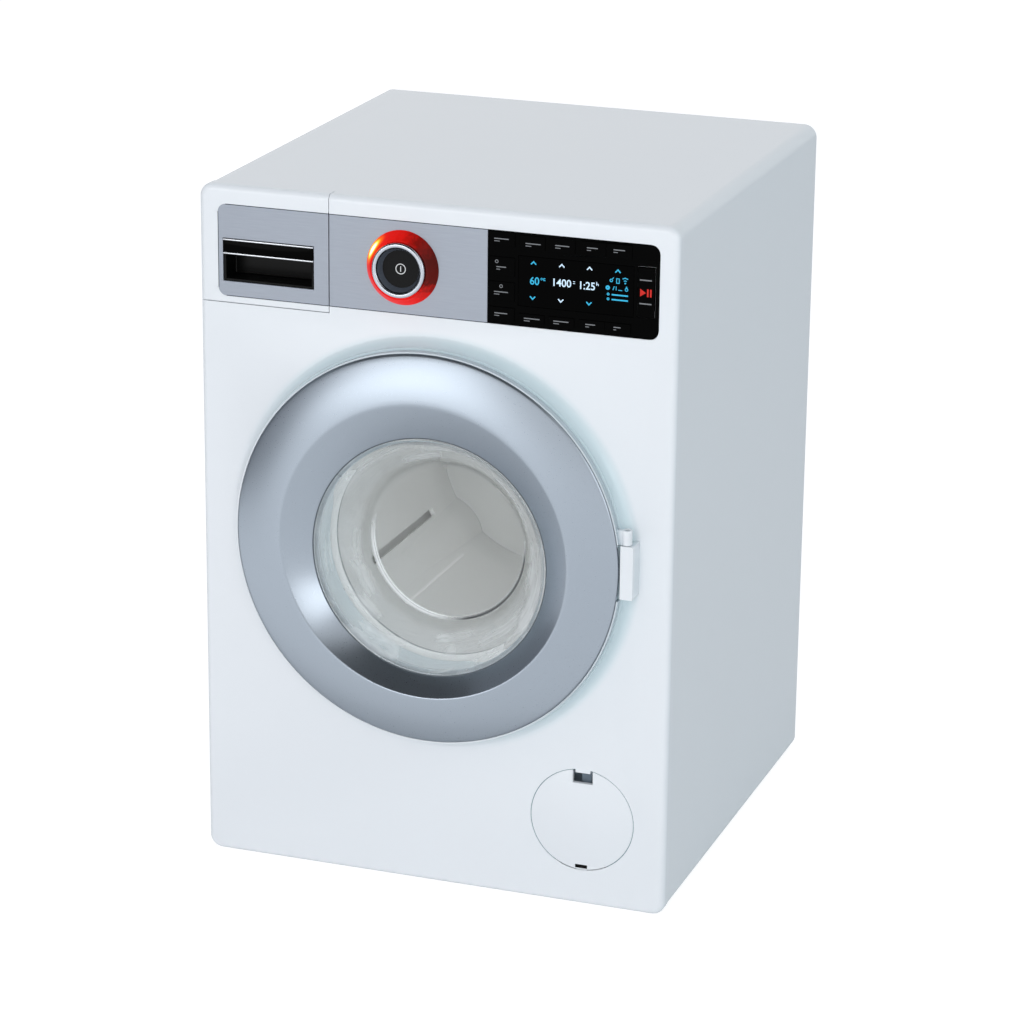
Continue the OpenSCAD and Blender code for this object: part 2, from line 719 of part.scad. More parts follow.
module tub() color([0.85, 0.87, 0.88]) on_axis() difference() {
  union() {
    translate([0, 0, tub_wall_back]) cylinder(r = tub_out_r, h = tub_front - tub_wall_back);
    translate([0, 0, tub_front - 2.4]) linear_extrude(2.4) tub_flange_outline();
    translate([0, 0, boss_back]) cylinder(r = boss_r, h = tub_wall_back - boss_back + EPS);
  }
  translate([0, 0, tub_wall_front]) cylinder(r = tub_r, h = tub_front - tub_wall_front + 1);
  translate([0, 0, boss_back - 1]) cylinder(r = bush_r, h = tub_wall_front - boss_back + 2);
  translate([0, 0, tub_front - 5]) at_ears() cylinder(r = screw_r + 0.3, h = 8);
  translate([0, 0, tub_wall_back - 1]) at_pillars() cylinder(r = screw_r + 0.25, h = 5);
}

module neck_gasket() color("dimgray") on_axis(tub_front)
  tube(neck_flange_r - 0.6, max(tub_r - 0.4, drum_out_r + 1.4), neck_back - tub_front);

module tub_screws() color(STEEL) on_axis(tub_front - 2.4) at_ears() mirror([0, 0, 1]) screw(8);

// Low rounded ridge inside the drum, centred on angle 0, which runs out flat
// towards the mouth
module lifter() intersection() {
  cylinder(r = drum_r + 0.5, h = lifter_l);
  translate([drum_r - lifter_h + lifter_round, 0, -EPS])
    cylinder(r1 = lifter_round, r2 = lifter_round - lifter_h, h = lifter_l + 2 * EPS);
}

module drum() color([0.8, 0.81, 0.81]) on_axis() difference() {
  union() {
    translate([0, 0, drum_back - drum_t]) tube(drum_out_r, drum_r, drum_l + drum_t);
    translate([0, 0, drum_back - drum_t]) cylinder(r = drum_out_r, h = drum_t);
    translate([0, 0, -drum_front - 1.6]) tube(drum_out_r, mouth_r, 1.6);
    translate([0, 0, drum_back - EPS]) cylinder(r1 = shaft_r + 8, r2 = shaft_r + 4, h = 8);
    for (i = [0:lifters - 1]) rotate(LIFTER_DIR + i * 360 / lifters)
      translate([0, 0, drum_back - EPS]) lifter();
  }
  translate([0, 0, drum_back - drum_t - 1]) cylinder(r = shaft_r, h = drum_t + 7);
  for (i = [0:lifters - 1]) rotate(SLOT_DIR + i * 360 / lifters)
    translate([drum_r - 2, -slot_w / 2, -drum_front - slot_start - slot_l]) cube([drum_t + 4, slot_w, slot_l]);
}

module drum_shaft() color(STEEL) on_axis() {
  translate([0, 0, drum_gear_back - 1.2]) cylinder(r = shaft_r, h = drum_back + 5 - drum_gear_back + 1.2);
}

module shaft_bushing() color(BRASS) on_axis(boss_back)
  tube(bush_r, shaft_r + run_fit, tub_wall_front - boss_back - 0.2);

module drum_gear() color("ivory") on_axis() difference() {
  union() {
    translate([0, 0, drum_gear_back]) linear_extrude(drum_gear_t)
      rotate(GEAR_DIR) gear_outline(drum_module, drum_teeth, 0.85);
    translate([0, 0, drum_gear_back]) cylinder(r = shaft_r + 3, h = drum_gear_t + 0.4);
  }
  translate([0, 0, drum_gear_back - 1]) cylinder(r = shaft_r, h = drum_gear_t + 3);
  translate([0, 0, drum_gear_back + 2]) tube(drum_pitch - 4.5, shaft_r + 4.5, drum_gear_t);
  translate([0, 0, drum_gear_back - 1]) for (a = [0:60:300]) rotate(a)
    translate([(drum_pitch + shaft_r) / 2, 0, 0]) cylinder(r = 4.5, h = drum_gear_t + 3);
}

// Front space at the compound gear's axle
module on_axle(d) on_axis(d) rotate(GEAR_DIR) translate([stage_1, 0, 0]) children();

// Front space at the motor's shaft
module on_motor(d) on_axis(d) rotate(GEAR_DIR) translate([motor_dist, 0, 0]) children();

module compound_gear() color("ivory") difference() {
  union() {
    on_axle(drum_gear_back - 0.4) linear_extrude(drum_gear_t + 0.8)
      rotate(180 + 180 / small_teeth) gear_outline(drum_module, small_teeth);
    on_axle(large_back) linear_extrude(large_gear_t) gear_outline(motor_module, large_teeth, 0.62);
    on_axle(large_front - EPS) cylinder(r = drum_module * small_teeth / 2 - 1.3,
      h = drum_gear_back - 0.4 - large_front + 2 * EPS);
  }
  on_axle(large_back - 1) cylinder(r = axle_r + run_fit, h = drum_gear_front - large_back + 3);
}

module gear_axle() color(STEEL) on_axle(gear_cover_back + 0.3)
  cylinder(r = axle_r, h = gear_base_back + 2 - gear_cover_back - 0.3);

module at_pillars() for (a = PILLARS) rotate(a) translate([pillar_dist, 0, 0]) children();

// Outline of the two plates that hold the gears and the motor
module gear_plate_outline() {
  circle(pillar_dist + pillar_r + 0.8);
  rotate(GEAR_DIR) translate([0, -plate_end_r]) square([motor_dist, 2 * plate_end_r]);
  rotate(GEAR_DIR) translate([motor_dist, 0]) circle(plate_end_r);
}

module gear_base() color("gainsboro") difference() {
  union() {
    on_axis(gear_base_back) linear_extrude(base_t) gear_plate_outline();
    on_axis(gear_cover_front) at_pillars() cylinder(r = pillar_r, h = gear_base_back - gear_cover_front + EPS);
    on_motor(gear_base_back) translate([-motor_flat / 2 - socket_t, -motor_w / 2 - socket_t, 0])
      cube([motor_flat + 2 * socket_t, motor_w + 2 * socket_t, base_t + socket_h]);
  }
  on_axis(gear_base_back - 1) cylinder(r = boss_r + 0.3, h = base_t + 2);
  on_axle(gear_base_back - 1) cylinder(r = axle_r, h = base_t + 0.6);
  on_motor(gear_base_back - 1) cylinder(r = motor_module * pinion_teeth / 2 + 1.8, h = base_t + 2);
  on_motor(gear_base_back + base_t) translate([-motor_flat / 2 - 0.1, -motor_w / 2 - 0.1, 0])
    cube([motor_flat + 0.2, motor_w + 0.2, socket_h + 1]);
  on_axis(gear_base_back + base_t - EPS) cylinder(r = tub_out_r + 0.1, h = socket_h + 1);
  on_axis(gear_cover_front - 1) at_pillars() cylinder(r = screw_r, h = 8);
  on_axis(gear_base_back - 1) at_pillars() cylinder(r = screw_r + 0.02, h = base_t + 2);
}

module gear_cover() color("gainsboro") difference() {
  on_axis(gear_cover_back) linear_extrude(cover_t) gear_plate_outline();
  on_axle(gear_cover_back - 1) cylinder(r = axle_r, h = cover_t + 2);
  on_motor(gear_cover_back - 1) cylinder(r = rotor_r + 1, h = cover_t + 2);
  on_axis(gear_cover_back - 1) cylinder(r = shaft_r + 2, h = cover_t + 2);
  on_axis(gear_cover_back - 1) at_pillars() cylinder(r = screw_r + 0.3, h = cover_t + 2);
}

module gear_screws() color(STEEL) {
  on_axis(gear_cover_back) at_pillars() mirror([0, 0, 1]) screw(6);
  on_axis(tub_wall_front) at_pillars() screw(tub_wall_front - gear_base_back - 0.4);
}

module motor() color(STEEL) on_motor(gear_base_back + base_t + 0.1) {
  difference() {
    intersection() {
      cylinder(r = motor_w / 2, h = motor_l);
      translate([-motor_flat / 2, -motor_w / 2, 0]) cube([motor_flat, motor_w, motor_l]);
    }
    translate([0, 0, -1]) cylinder(r = rotor_r + run_fit, h = motor_l - 1);
  }
  translate([0, 0, motor_l - EPS]) cylinder(r = 3, h = 2);
}

module motor_pinion() color(BRASS) {
  on_motor(large_back - 0.2) linear_extrude(large_gear_t + 0.4)
    rotate(180 + 180 / pinion_teeth) gear_outline(motor_module, pinion_teeth);
  on_motor(large_back - 0.4) cylinder(r = rotor_r, h = gear_base_back + base_t + motor_l - 4 - large_back);
}

// ---------------------------------------------------------------- drawer

module drawer_front() difference() {
  intersection() {
    front(-rim_d) soft_slab(-half_w, 0, half_w, body_h, corner_r, edge_r, rim_d);
    slab(-half_w - 1, split_z + seam / 2, split_x - seam / 2, body_h + 1, -rim_d, 1);
  }
  front(-rim_d - 1) linear_extrude(1 + rim_d - front_t)
    rounded_rect(-half_w + wall, split_z + seam / 2 + 2, split_x - seam / 2 - 2, body_h - wall, 1.5);
}

// The tray's two compartments, open at the top
module compartments() difference() {
  for (x = [tray_x0 + tray_t, (tray_x0 + tray_x1 + divider_t) / 2])
    slab(x, tray_z0 + tray_t, x + (tray_x1 - tray_x0 - 2 * tray_t - divider_t) / 2, tray_z0 + tray_h + 1,
      -tray_l + tray_t, -front_t - 0.6);
  handle_hole(cup_wall);
}

module detergent_drawer() color(WHITE) difference() {
  union() {
    drawer_front();
    slab(tray_x0, tray_z0, tray_x1, tray_z0 + tray_h, -tray_l, -front_t + EPS);
  }
  compartments();
  slab(inlay_x0 - fit, inlay_z0 - fit, split_x, inlay_z1 + fit, -inlay_t, 1);
  handle_hole(fit / 2);
}

// Room for the handle's cup in the drawer's front, grown by g
module handle_hole(g) slab(handle_mid - handle_w / 2 - g, handle_z0 - g, handle_mid + handle_w / 2 + g,
  handle_z0 + handle_h + g, -handle_d - cup_t - g, 1);

module drawer_plate() color(SILVER) difference() {
  front(-inlay_t) linear_extrude(inlay_t) difference() {
    rounded_rect(inlay_x0, inlay_z0, split_x + 10, inlay_z1, inlay_r);
    translate([split_x - seam / 2, inlay_z0 - 1]) square([20, inlay_h + 2]);
  }
  handle_hole(fit / 2);
}

module drawer_handle() color(BLACK) difference() {
  slab(handle_mid - handle_w / 2, handle_z0, handle_mid + handle_w / 2, handle_z0 + handle_h,
    -handle_d - cup_t, -0.2);
  slab(handle_mid - handle_w / 2 + cup_t, handle_z0 + cup_t, handle_mid + handle_w / 2 - cup_t,
    handle_z0 + handle_h - cup_t, -handle_d, 1);
  slab(handle_mid - handle_w / 2 - 1, handle_z0 + handle_h - bar_h, handle_mid + handle_w / 2 + 1,
    handle_z0 + handle_h + 1, -1.6, 1);
}

module handle_bar() color(BLACK) {
  slab(handle_mid - handle_w / 2, handle_z0 + handle_h - bar_h, handle_mid + handle_w / 2,
    handle_z0 + handle_h, -1.6, 0.2);
  for (z = [handle_z0 + handle_h - bar_h, handle_z0 + handle_h - 0.6])
    slab(handle_mid - handle_w / 2, z, handle_mid + handle_w / 2, z + 0.6, 0.2 - EPS, 0.5);
}

module drawer_sleeve() color(WHITE) difference() {
  union() {
    slab(tray_x0 - tray_gap - sleeve_t, tray_z0 - tray_gap - sleeve_t, tray_x1 + tray_gap + sleeve_t,
      tray_z0 + tray_h, -tray_l - 2 - sleeve_t, bay_back);
    slab(tray_x0, split_z - bay_foot, tray_x1, tray_z0, bay_back - sleeve_foot_t, bay_back);
  }
  slab(tray_x0 - tray_gap, tray_z0 - tray_gap, tray_x1 + tray_gap, tray_z0 + tray_h + 1, -tray_l - 2,
    bay_back + 1);
  front(bay_back - 3) at_sleeve_screws() cylinder(r = screw_r + 0.2, h = 4);
}

module sleeve_screws() color(STEEL) front(bay_back - sleeve_foot_t) at_sleeve_screws()
  mirror([0, 0, 1]) screw(sleeve_foot_t + bay_t - 0.6);

// ---------------------------------------------------------------- fascia

module fascia_plate() color(SILVER) difference() {
  slab(split_x + seam / 2, inlay_z0, display_x0 - fit / 2, inlay_z1, -inlay_t, 0);
  on_dial(-inlay_t - 1) cylinder(r = light_spigot + fit / 2, h = inlay_t + 2);
}

module key_outlines() {
  for (k = COLUMN_KEYS) translate([display_x0 + 0.5, inlay_z0 + k[0]]) square([key_col_w, k[1]]);
  for (x = KEY_ROW_X) translate([display_x0 + x, inlay_z1 - 0.7 - key_top_h]) square([key_row_w, key_top_h]);
  for (x = KEY_ROW_X) translate([display_x0 + x, inlay_z0 + 1.4]) square([key_row_w, key_foot_h]);
}

module display_panel() color(BLACK) difference() {
  union() {
    front(-inlay_t) linear_extrude(inlay_t + display_out) difference() {
      rounded_rect(display_x0 - 10, inlay_z0, display_x1, inlay_z1, inlay_r);
      translate([display_x0 - 20, inlay_z0 - 1]) square([20, inlay_h + 2]);
    }
    front(display_out - EPS) linear_extrude(key_out) key_outlines();
  }
  slab(display_x0 + screen_x0, inlay_z0 + screen_z0, display_x0 + screen_x1, inlay_z0 + screen_z1,
    display_out - 0.8, 2);
  slab(start_x - start_w / 2 - key_gap / 2, inlay_mid - start_h / 2 - key_gap / 2,
    start_x + start_w / 2 + key_gap / 2, inlay_mid + start_h / 2 + key_gap / 2, -inlay_t - 1, 2);
}

module display_window() color([0.1, 0.1, 0.12]) slab(display_x0 + screen_x0 + fit / 2,
  inlay_z0 + screen_z0 + fit / 2, display_x0 + screen_x1 - fit / 2, inlay_z0 + screen_z1 - fit / 2,
  display_out - 0.8, display_out);

module start_key() color(BLACK) {
  slab(start_x - start_w / 2, inlay_mid - start_h / 2, start_x + start_w / 2, inlay_mid + start_h / 2,
    -inlay_t + start_travel + 0.1, display_out + key_out + 0.2);
  slab(start_x - stem_w / 2, inlay_mid - stem_w / 2, start_x + stem_w / 2, inlay_mid + stem_w / 2,
    board_front + switch_h + 0.4 + start_travel + 0.1, 0);
  slab(start_x - stem_w / 2 - 1, inlay_mid - stem_w / 2 - 1, start_x + stem_w / 2 + 1,
    inlay_mid + stem_w / 2 + 1, -wall - 1.1, -wall - 0.1);
}

module light_ring() color("red") on_dial() difference() {
  union() {
    cylinder(r1 = light_r, r2 = light_bore + 0.45, h = light_out);
    translate([0, 0, -wall - 1.5]) cylinder(r = light_spigot, h = wall + 1.5 + EPS);
  }
  translate([0, 0, -wall - 3]) cylinder(r = light_bore, h = light_out + wall + 4);
}

module dial_ring() color(CHROME) on_dial() difference() {
  union() {
    translate([0, 0, -web_t]) cylinder(r = dial_r, h = dial_out + web_t - 0.4);
    translate([0, 0, dial_out - 0.4 - EPS]) cylinder(r1 = dial_r, r2 = dial_r - 0.4, h = 0.4);
    translate([0, 0, board_front + 2.5]) cylinder(r = hub_r, h = -board_front - 2.5);
  }
  cylinder(r = dial_r - dial_rim, h = dial_out + 1);
  translate([0, 0, board_front]) cylinder(r = stem_r + stem_fit, h = 20);
}

module power_button() color(BLACK) on_dial() difference() {
  union() {
    translate([0, 0, power_travel + 0.3]) cylinder(r = button_r, h = dial_out - power_travel - 1.1);
    translate([0, 0, board_front + switch_h + 1 + power_travel]) cylinder(r = stem_r, h = 12);
  }
  translate([0, 0, dial_out - 2]) cylinder(r1 = button_r - 1.7, r2 = button_r - 0.2, h = 1.3);
}

module circuit_board() color("darkgreen") difference() {
  slab(board_x0, board_z0, board_x1, board_z1, board_front - board_t, board_front);
  front(board_front - board_t - 1) at_board_posts() cylinder(r = screw_r + 0.2, h = board_t + 2);
}

module board_screws() color(STEEL) front(board_front - board_t) at_board_posts() mirror([0, 0, 1]) screw(board_t + 4);

module dial_switch() color("dimgray") on_dial(board_front) difference() {
  translate([-encoder_w / 2, -encoder_w / 2, 0]) cube([encoder_w, encoder_w, encoder_t]);
  translate([0, 0, -1]) cylinder(r = hub_r + run_fit, h = encoder_t + 2);
}

module key_switches() color("silver") front(board_front) {
  translate([dial_x, inlay_mid, 0]) {
    translate([-2, -2, 0]) cube([4, 4, switch_h]);
    cylinder(r = 0.9, h = switch_h + 0.7);
  }
  translate([start_x, inlay_mid, 0]) {
    translate([-3, -3, 0]) cube([6, 6, switch_h]);
    cylinder(r = 1.6, h = switch_h + 0.4);
  }
}

module indicator_leds() color("red") on_dial(board_front) for (a = [45:90:315]) rotate(a)
  translate([led_ring_r, 0, 0]) {
    cylinder(r = 1.5, h = 5);
    translate([0, 0, 5]) sphere(1.5);
  }

// ---------------------------------------------------------------- door

// Circle that gives the silver ring its slight crown, through edge and ridge
crown_r = 90;
CHORD = [ridge_r - ring_r, door_out - ring_out];
chord_l = norm(CHORD);
crown_dist = sqrt(crown_r * crown_r - chord_l * chord_l / 4);
CROWN = [(ring_r + ridge_r) / 2 - CHORD[1] / chord_l * crown_dist,
  (ring_out + door_out) / 2 + CHORD[0] / chord_l * crown_dist];
ring_t = 1.4;
lip_ring_t = 0.3;
bevel_over = 1.2;
bevel_d = door_out - glass_out;

module crown_outline(shrink) intersection() {
  square([ring_r - shrink, door_out + bevel_over - 0.2]);
  translate(CROWN) circle(crown_r - shrink);
}

// Void of the bevel: an oblique funnel from the glass to past the ridge
module bevel_void() hull() {
  on_axis(glass_out - lip_ring_t - EPS) cylinder(r = glass_r, h = lip_ring_t + EPS, $fn = 64);
  on_ring(door_out + bevel_over) translate([0, glass_drop * bevel_over / bevel_d, 0])
    cylinder(r = ridge_r + (ridge_r - glass_r) * bevel_over / bevel_d, h = EPS, $fn = 64);
}

module door_ring() color(SILVER) difference() {
  union() {
    on_ring() rotate_extrude() difference() {
      crown_outline(0);
      translate([0, -1]) square([ring_r + 1, plate_front + 1]);
    }
    on_axis(glass_out - 1) cylinder(r1 = glass_r + 2, r2 = glass_r + 6.4, h = plate_front - glass_out + 1 + EPS);
  }
  on_ring() rotate_extrude() difference() {
    crown_outline(ring_t);
    square([ridge_r + 2.5, door_out + 2]);
    translate([0, -1]) square([ring_r, plate_front - 1]);
  }
  on_axis(glass_out - 2) cylinder(r = glass_r + 0.6, h = 2 - lip_ring_t);
  bevel_void();
}

module door_frame() color(WHITE) difference() {
  union() {
    on_ring(plate_back) cylinder(r = frame_r, h = ring_out - 0.3 - plate_back);
    on_axis(collar_back) cylinder(r = collar_r, h = plate_back - collar_back + 1);
    slab(hinge_x - 7, block_z1 + lug_gap, hinge_x, block_z1 + lug_gap + hinge_lug_h, plate_back, plate_front);
    on_hinge(block_z1 + lug_gap) cylinder(r = lug_r, h = hinge_lug_h);
    slab(catch_x - catch_t / 2, door_z - catch_h / 2, catch_x + catch_t / 2, door_z + catch_h / 2, 0.2,
      plate_back + 1);
  }
  difference() {
    on_ring(plate_front) cylinder(r = ring_r + 0.15, h = 5);
    on_hinge(block_z1 + lug_gap - 1) cylinder(r = lug_r, h = hinge_lug_h + 2);
  }
  on_axis(seat_d) cylinder(r = seat_r, h = 20);
  on_axis(glass_out - 1) cylinder(r1 = seat_r, r2 = glass_r + 7, h = plate_front - glass_out + 1 + EPS);
  on_axis(collar_back - 1) cylinder(r = throat_r + fit, h = 10);
  on_hinge(block_z0 - 1) cylinder(r = notch_r, h = hinge_block_h + 1 + lug_gap);
  on_hinge(block_z0) cylinder(r = hinge_pin_r + run_fit, h = 40);
}

// Half profile of the bowl, shrunk by s, with its mouth r_top wide: a cone
// whose edge to the flat back is a curve from w up the cone to w inwards
function bowl_profile(s, r_top) = let(n = 6, w = bowl_edge - s / 2, k = norm([1, bowl_slope]),
  d1 = -bowl_d + s, r1 = bowl_r + (bowl_slope - k) * s,
  A = [r1 + w * bowl_slope / k, d1 + w / k], C = [r1 - w, d1]) concat(
  [[0, glass_out + 2], [r_top, glass_out + 2], [r_top, glass_out - 0.1], [throat_r - k * s, seat_d]],
  [for (i = [0:n]) let(t = i / n) (1 - t) * (1 - t) * A + 2 * t * (1 - t) * [r1, d1] + t * t * C],
  [[0, d1]]);

module door_window() color([0.85, 0.95, 0.97, 0.35]) on_axis() difference() {
  union() {
    rotate_extrude() intersection() {
      polygon(bowl_profile(0, throat_r));
      translate([0, -bowl_d - 1]) square([flange_r, bowl_d + 1 + glass_out - 0.1]);
    }
    translate([0, 0, seat_d]) cylinder(r = flange_r, h = flange_t);
    translate([0, 0, seat_d]) cylinder(r = glass_r - 0.15, h = glass_out - 0.1 - seat_d);
  }
  rotate_extrude() polygon(bowl_profile(bowl_t, glass_r - 0.8));
}

module hinge_pin() color(STEEL) on_hinge(block_z0 + 0.4)
  cylinder(r = hinge_pin_r, h = hinge_block_h + lug_gap + hinge_lug_h - 0.8);

// ---------------------------------------------------------------- flap

module filter_flap() color(WHITE) {
  difference() {
    on_flap(-flap_t) cylinder(r = flap_r, h = flap_t);
    slab(flap_x - flap_slot_w / 2, flap_slot_top - flap_slot_h, flap_x + flap_slot_w / 2, flap_slot_top,
      -flap_t - 1, 1);
    slab(flap_x - flap_bar_l / 2, flap_z - flap_r - 1, flap_x + flap_bar_l / 2, flap_axis_z + hook_r + 0.25,
      -flap_t - 1, 1);
    slab(flap_x - flap_slot_w / 2, flap_slot_top - 1, flap_x + flap_slot_w / 2, flap_z + flap_r + 1,
      -0.5, 1);
  }
  translate([flap_x - flap_bar_l / 2 - 0.4, front_y + flap_bar_r, flap_axis_z]) rotate([0, 90, 0])
    cylinder(r = flap_bar_r, h = flap_bar_l + 0.8);
}

module filter_cap() color([0.55, 0.62, 0.68]) on_flap(-well_d) difference() {
  cylinder(r = flap_r - 1.2, h = well_d - 5);
  difference() {
    translate([0, 0, well_d - 9]) cylinder(r = flap_r - 3.4, h = 5);
    translate([-2, -flap_r, 0]) cube([4, 2 * flap_r, well_d]);
  }
}

// ---------------------------------------------------------------- output

front_panel();
shell();
rear_cover();
battery_cover();
battery_cells();
battery_contacts();
battery_screw();
cover_screws();
speaker();
tub();
neck_gasket();
tub_screws();
drum();
drum_shaft();
shaft_bushing();
drum_gear();
compound_gear();
gear_axle();
gear_base();
gear_cover();
gear_screws();
motor();
motor_pinion();
detergent_drawer();
drawer_plate();
drawer_handle();
handle_bar();
drawer_sleeve();
sleeve_screws();
fascia_plate();
display_panel();
display_window();
start_key();
light_ring();
dial_ring();
power_button();
circuit_board();
board_screws();
dial_switch();
key_switches();
indicator_leds();
door_ring();
door_frame();
door_window();
hinge_pin();
filter_flap();
filter_cap();
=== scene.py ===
"""Looks of a toy washing machine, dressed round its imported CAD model.

Every shape is in the CAD frame: +X to the viewer's right, +Z up, and the
front face looks along -Y. Sizes inside the classes are millimetres in front
space: x to the right, z up, and d out of the front face. FrontSpace turns
them into metres of the CAD frame.
"""

import json
import logging
import math
from dataclasses import dataclass, field
from enum import Enum
from functools import cached_property, reduce

import bmesh
import bpy
import numpy as np
from mathutils import Matrix, Vector

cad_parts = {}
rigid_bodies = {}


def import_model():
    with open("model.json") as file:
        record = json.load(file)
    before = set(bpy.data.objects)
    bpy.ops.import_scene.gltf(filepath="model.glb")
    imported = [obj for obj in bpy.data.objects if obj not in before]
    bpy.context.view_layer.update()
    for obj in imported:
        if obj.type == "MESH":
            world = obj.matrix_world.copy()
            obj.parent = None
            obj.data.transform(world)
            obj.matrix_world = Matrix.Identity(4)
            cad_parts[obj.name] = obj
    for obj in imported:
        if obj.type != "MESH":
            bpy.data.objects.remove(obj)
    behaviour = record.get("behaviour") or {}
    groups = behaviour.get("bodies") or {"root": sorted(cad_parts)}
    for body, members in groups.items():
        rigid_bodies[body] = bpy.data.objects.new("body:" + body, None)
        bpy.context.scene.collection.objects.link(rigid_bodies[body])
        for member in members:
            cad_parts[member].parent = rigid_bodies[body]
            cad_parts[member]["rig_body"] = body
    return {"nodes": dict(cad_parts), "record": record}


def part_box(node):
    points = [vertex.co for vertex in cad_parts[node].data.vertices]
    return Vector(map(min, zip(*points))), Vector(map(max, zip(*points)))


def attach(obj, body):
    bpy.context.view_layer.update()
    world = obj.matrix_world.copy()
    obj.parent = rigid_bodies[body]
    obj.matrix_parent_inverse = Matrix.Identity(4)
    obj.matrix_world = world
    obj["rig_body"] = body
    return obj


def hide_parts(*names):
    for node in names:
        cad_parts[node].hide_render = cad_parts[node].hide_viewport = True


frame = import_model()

log = logging.getLogger("toy_washing_machine")
MM = 0.001
WHITE_LIGHT = (1.0, 1.0, 1.0, 1.0)
Piece = bpy.types.Object
Socket = bpy.types.NodeSocket
Feed = Socket | float | tuple
Colour = tuple[float, float, float, float]


# ------------------------------------------------------------------ colour


def linear(code: str, alpha: float = 1.0) -> Colour:
    """Turns an sRGB hex code into a linear colour.

    Args:
        code: six hex digits, such as "e4e9ef".
        alpha: the fourth channel.

    Returns:
        Linear red, green, blue and the alpha.
    """
    parts = [int(code[i : i + 2], 16) / 255 for i in (0, 2, 4)]
    curve = [c / 12.92 if c <= 0.04045 else ((c + 0.055) / 1.055) ** 2.4 for c in parts]
    return (*curve, alpha)


def toned(colour: Colour, factor: float) -> Colour:
    """A linear colour made lighter or darker by a factor."""
    return (*(min(1.0, c * factor) for c in colour[:3]), 1.0)


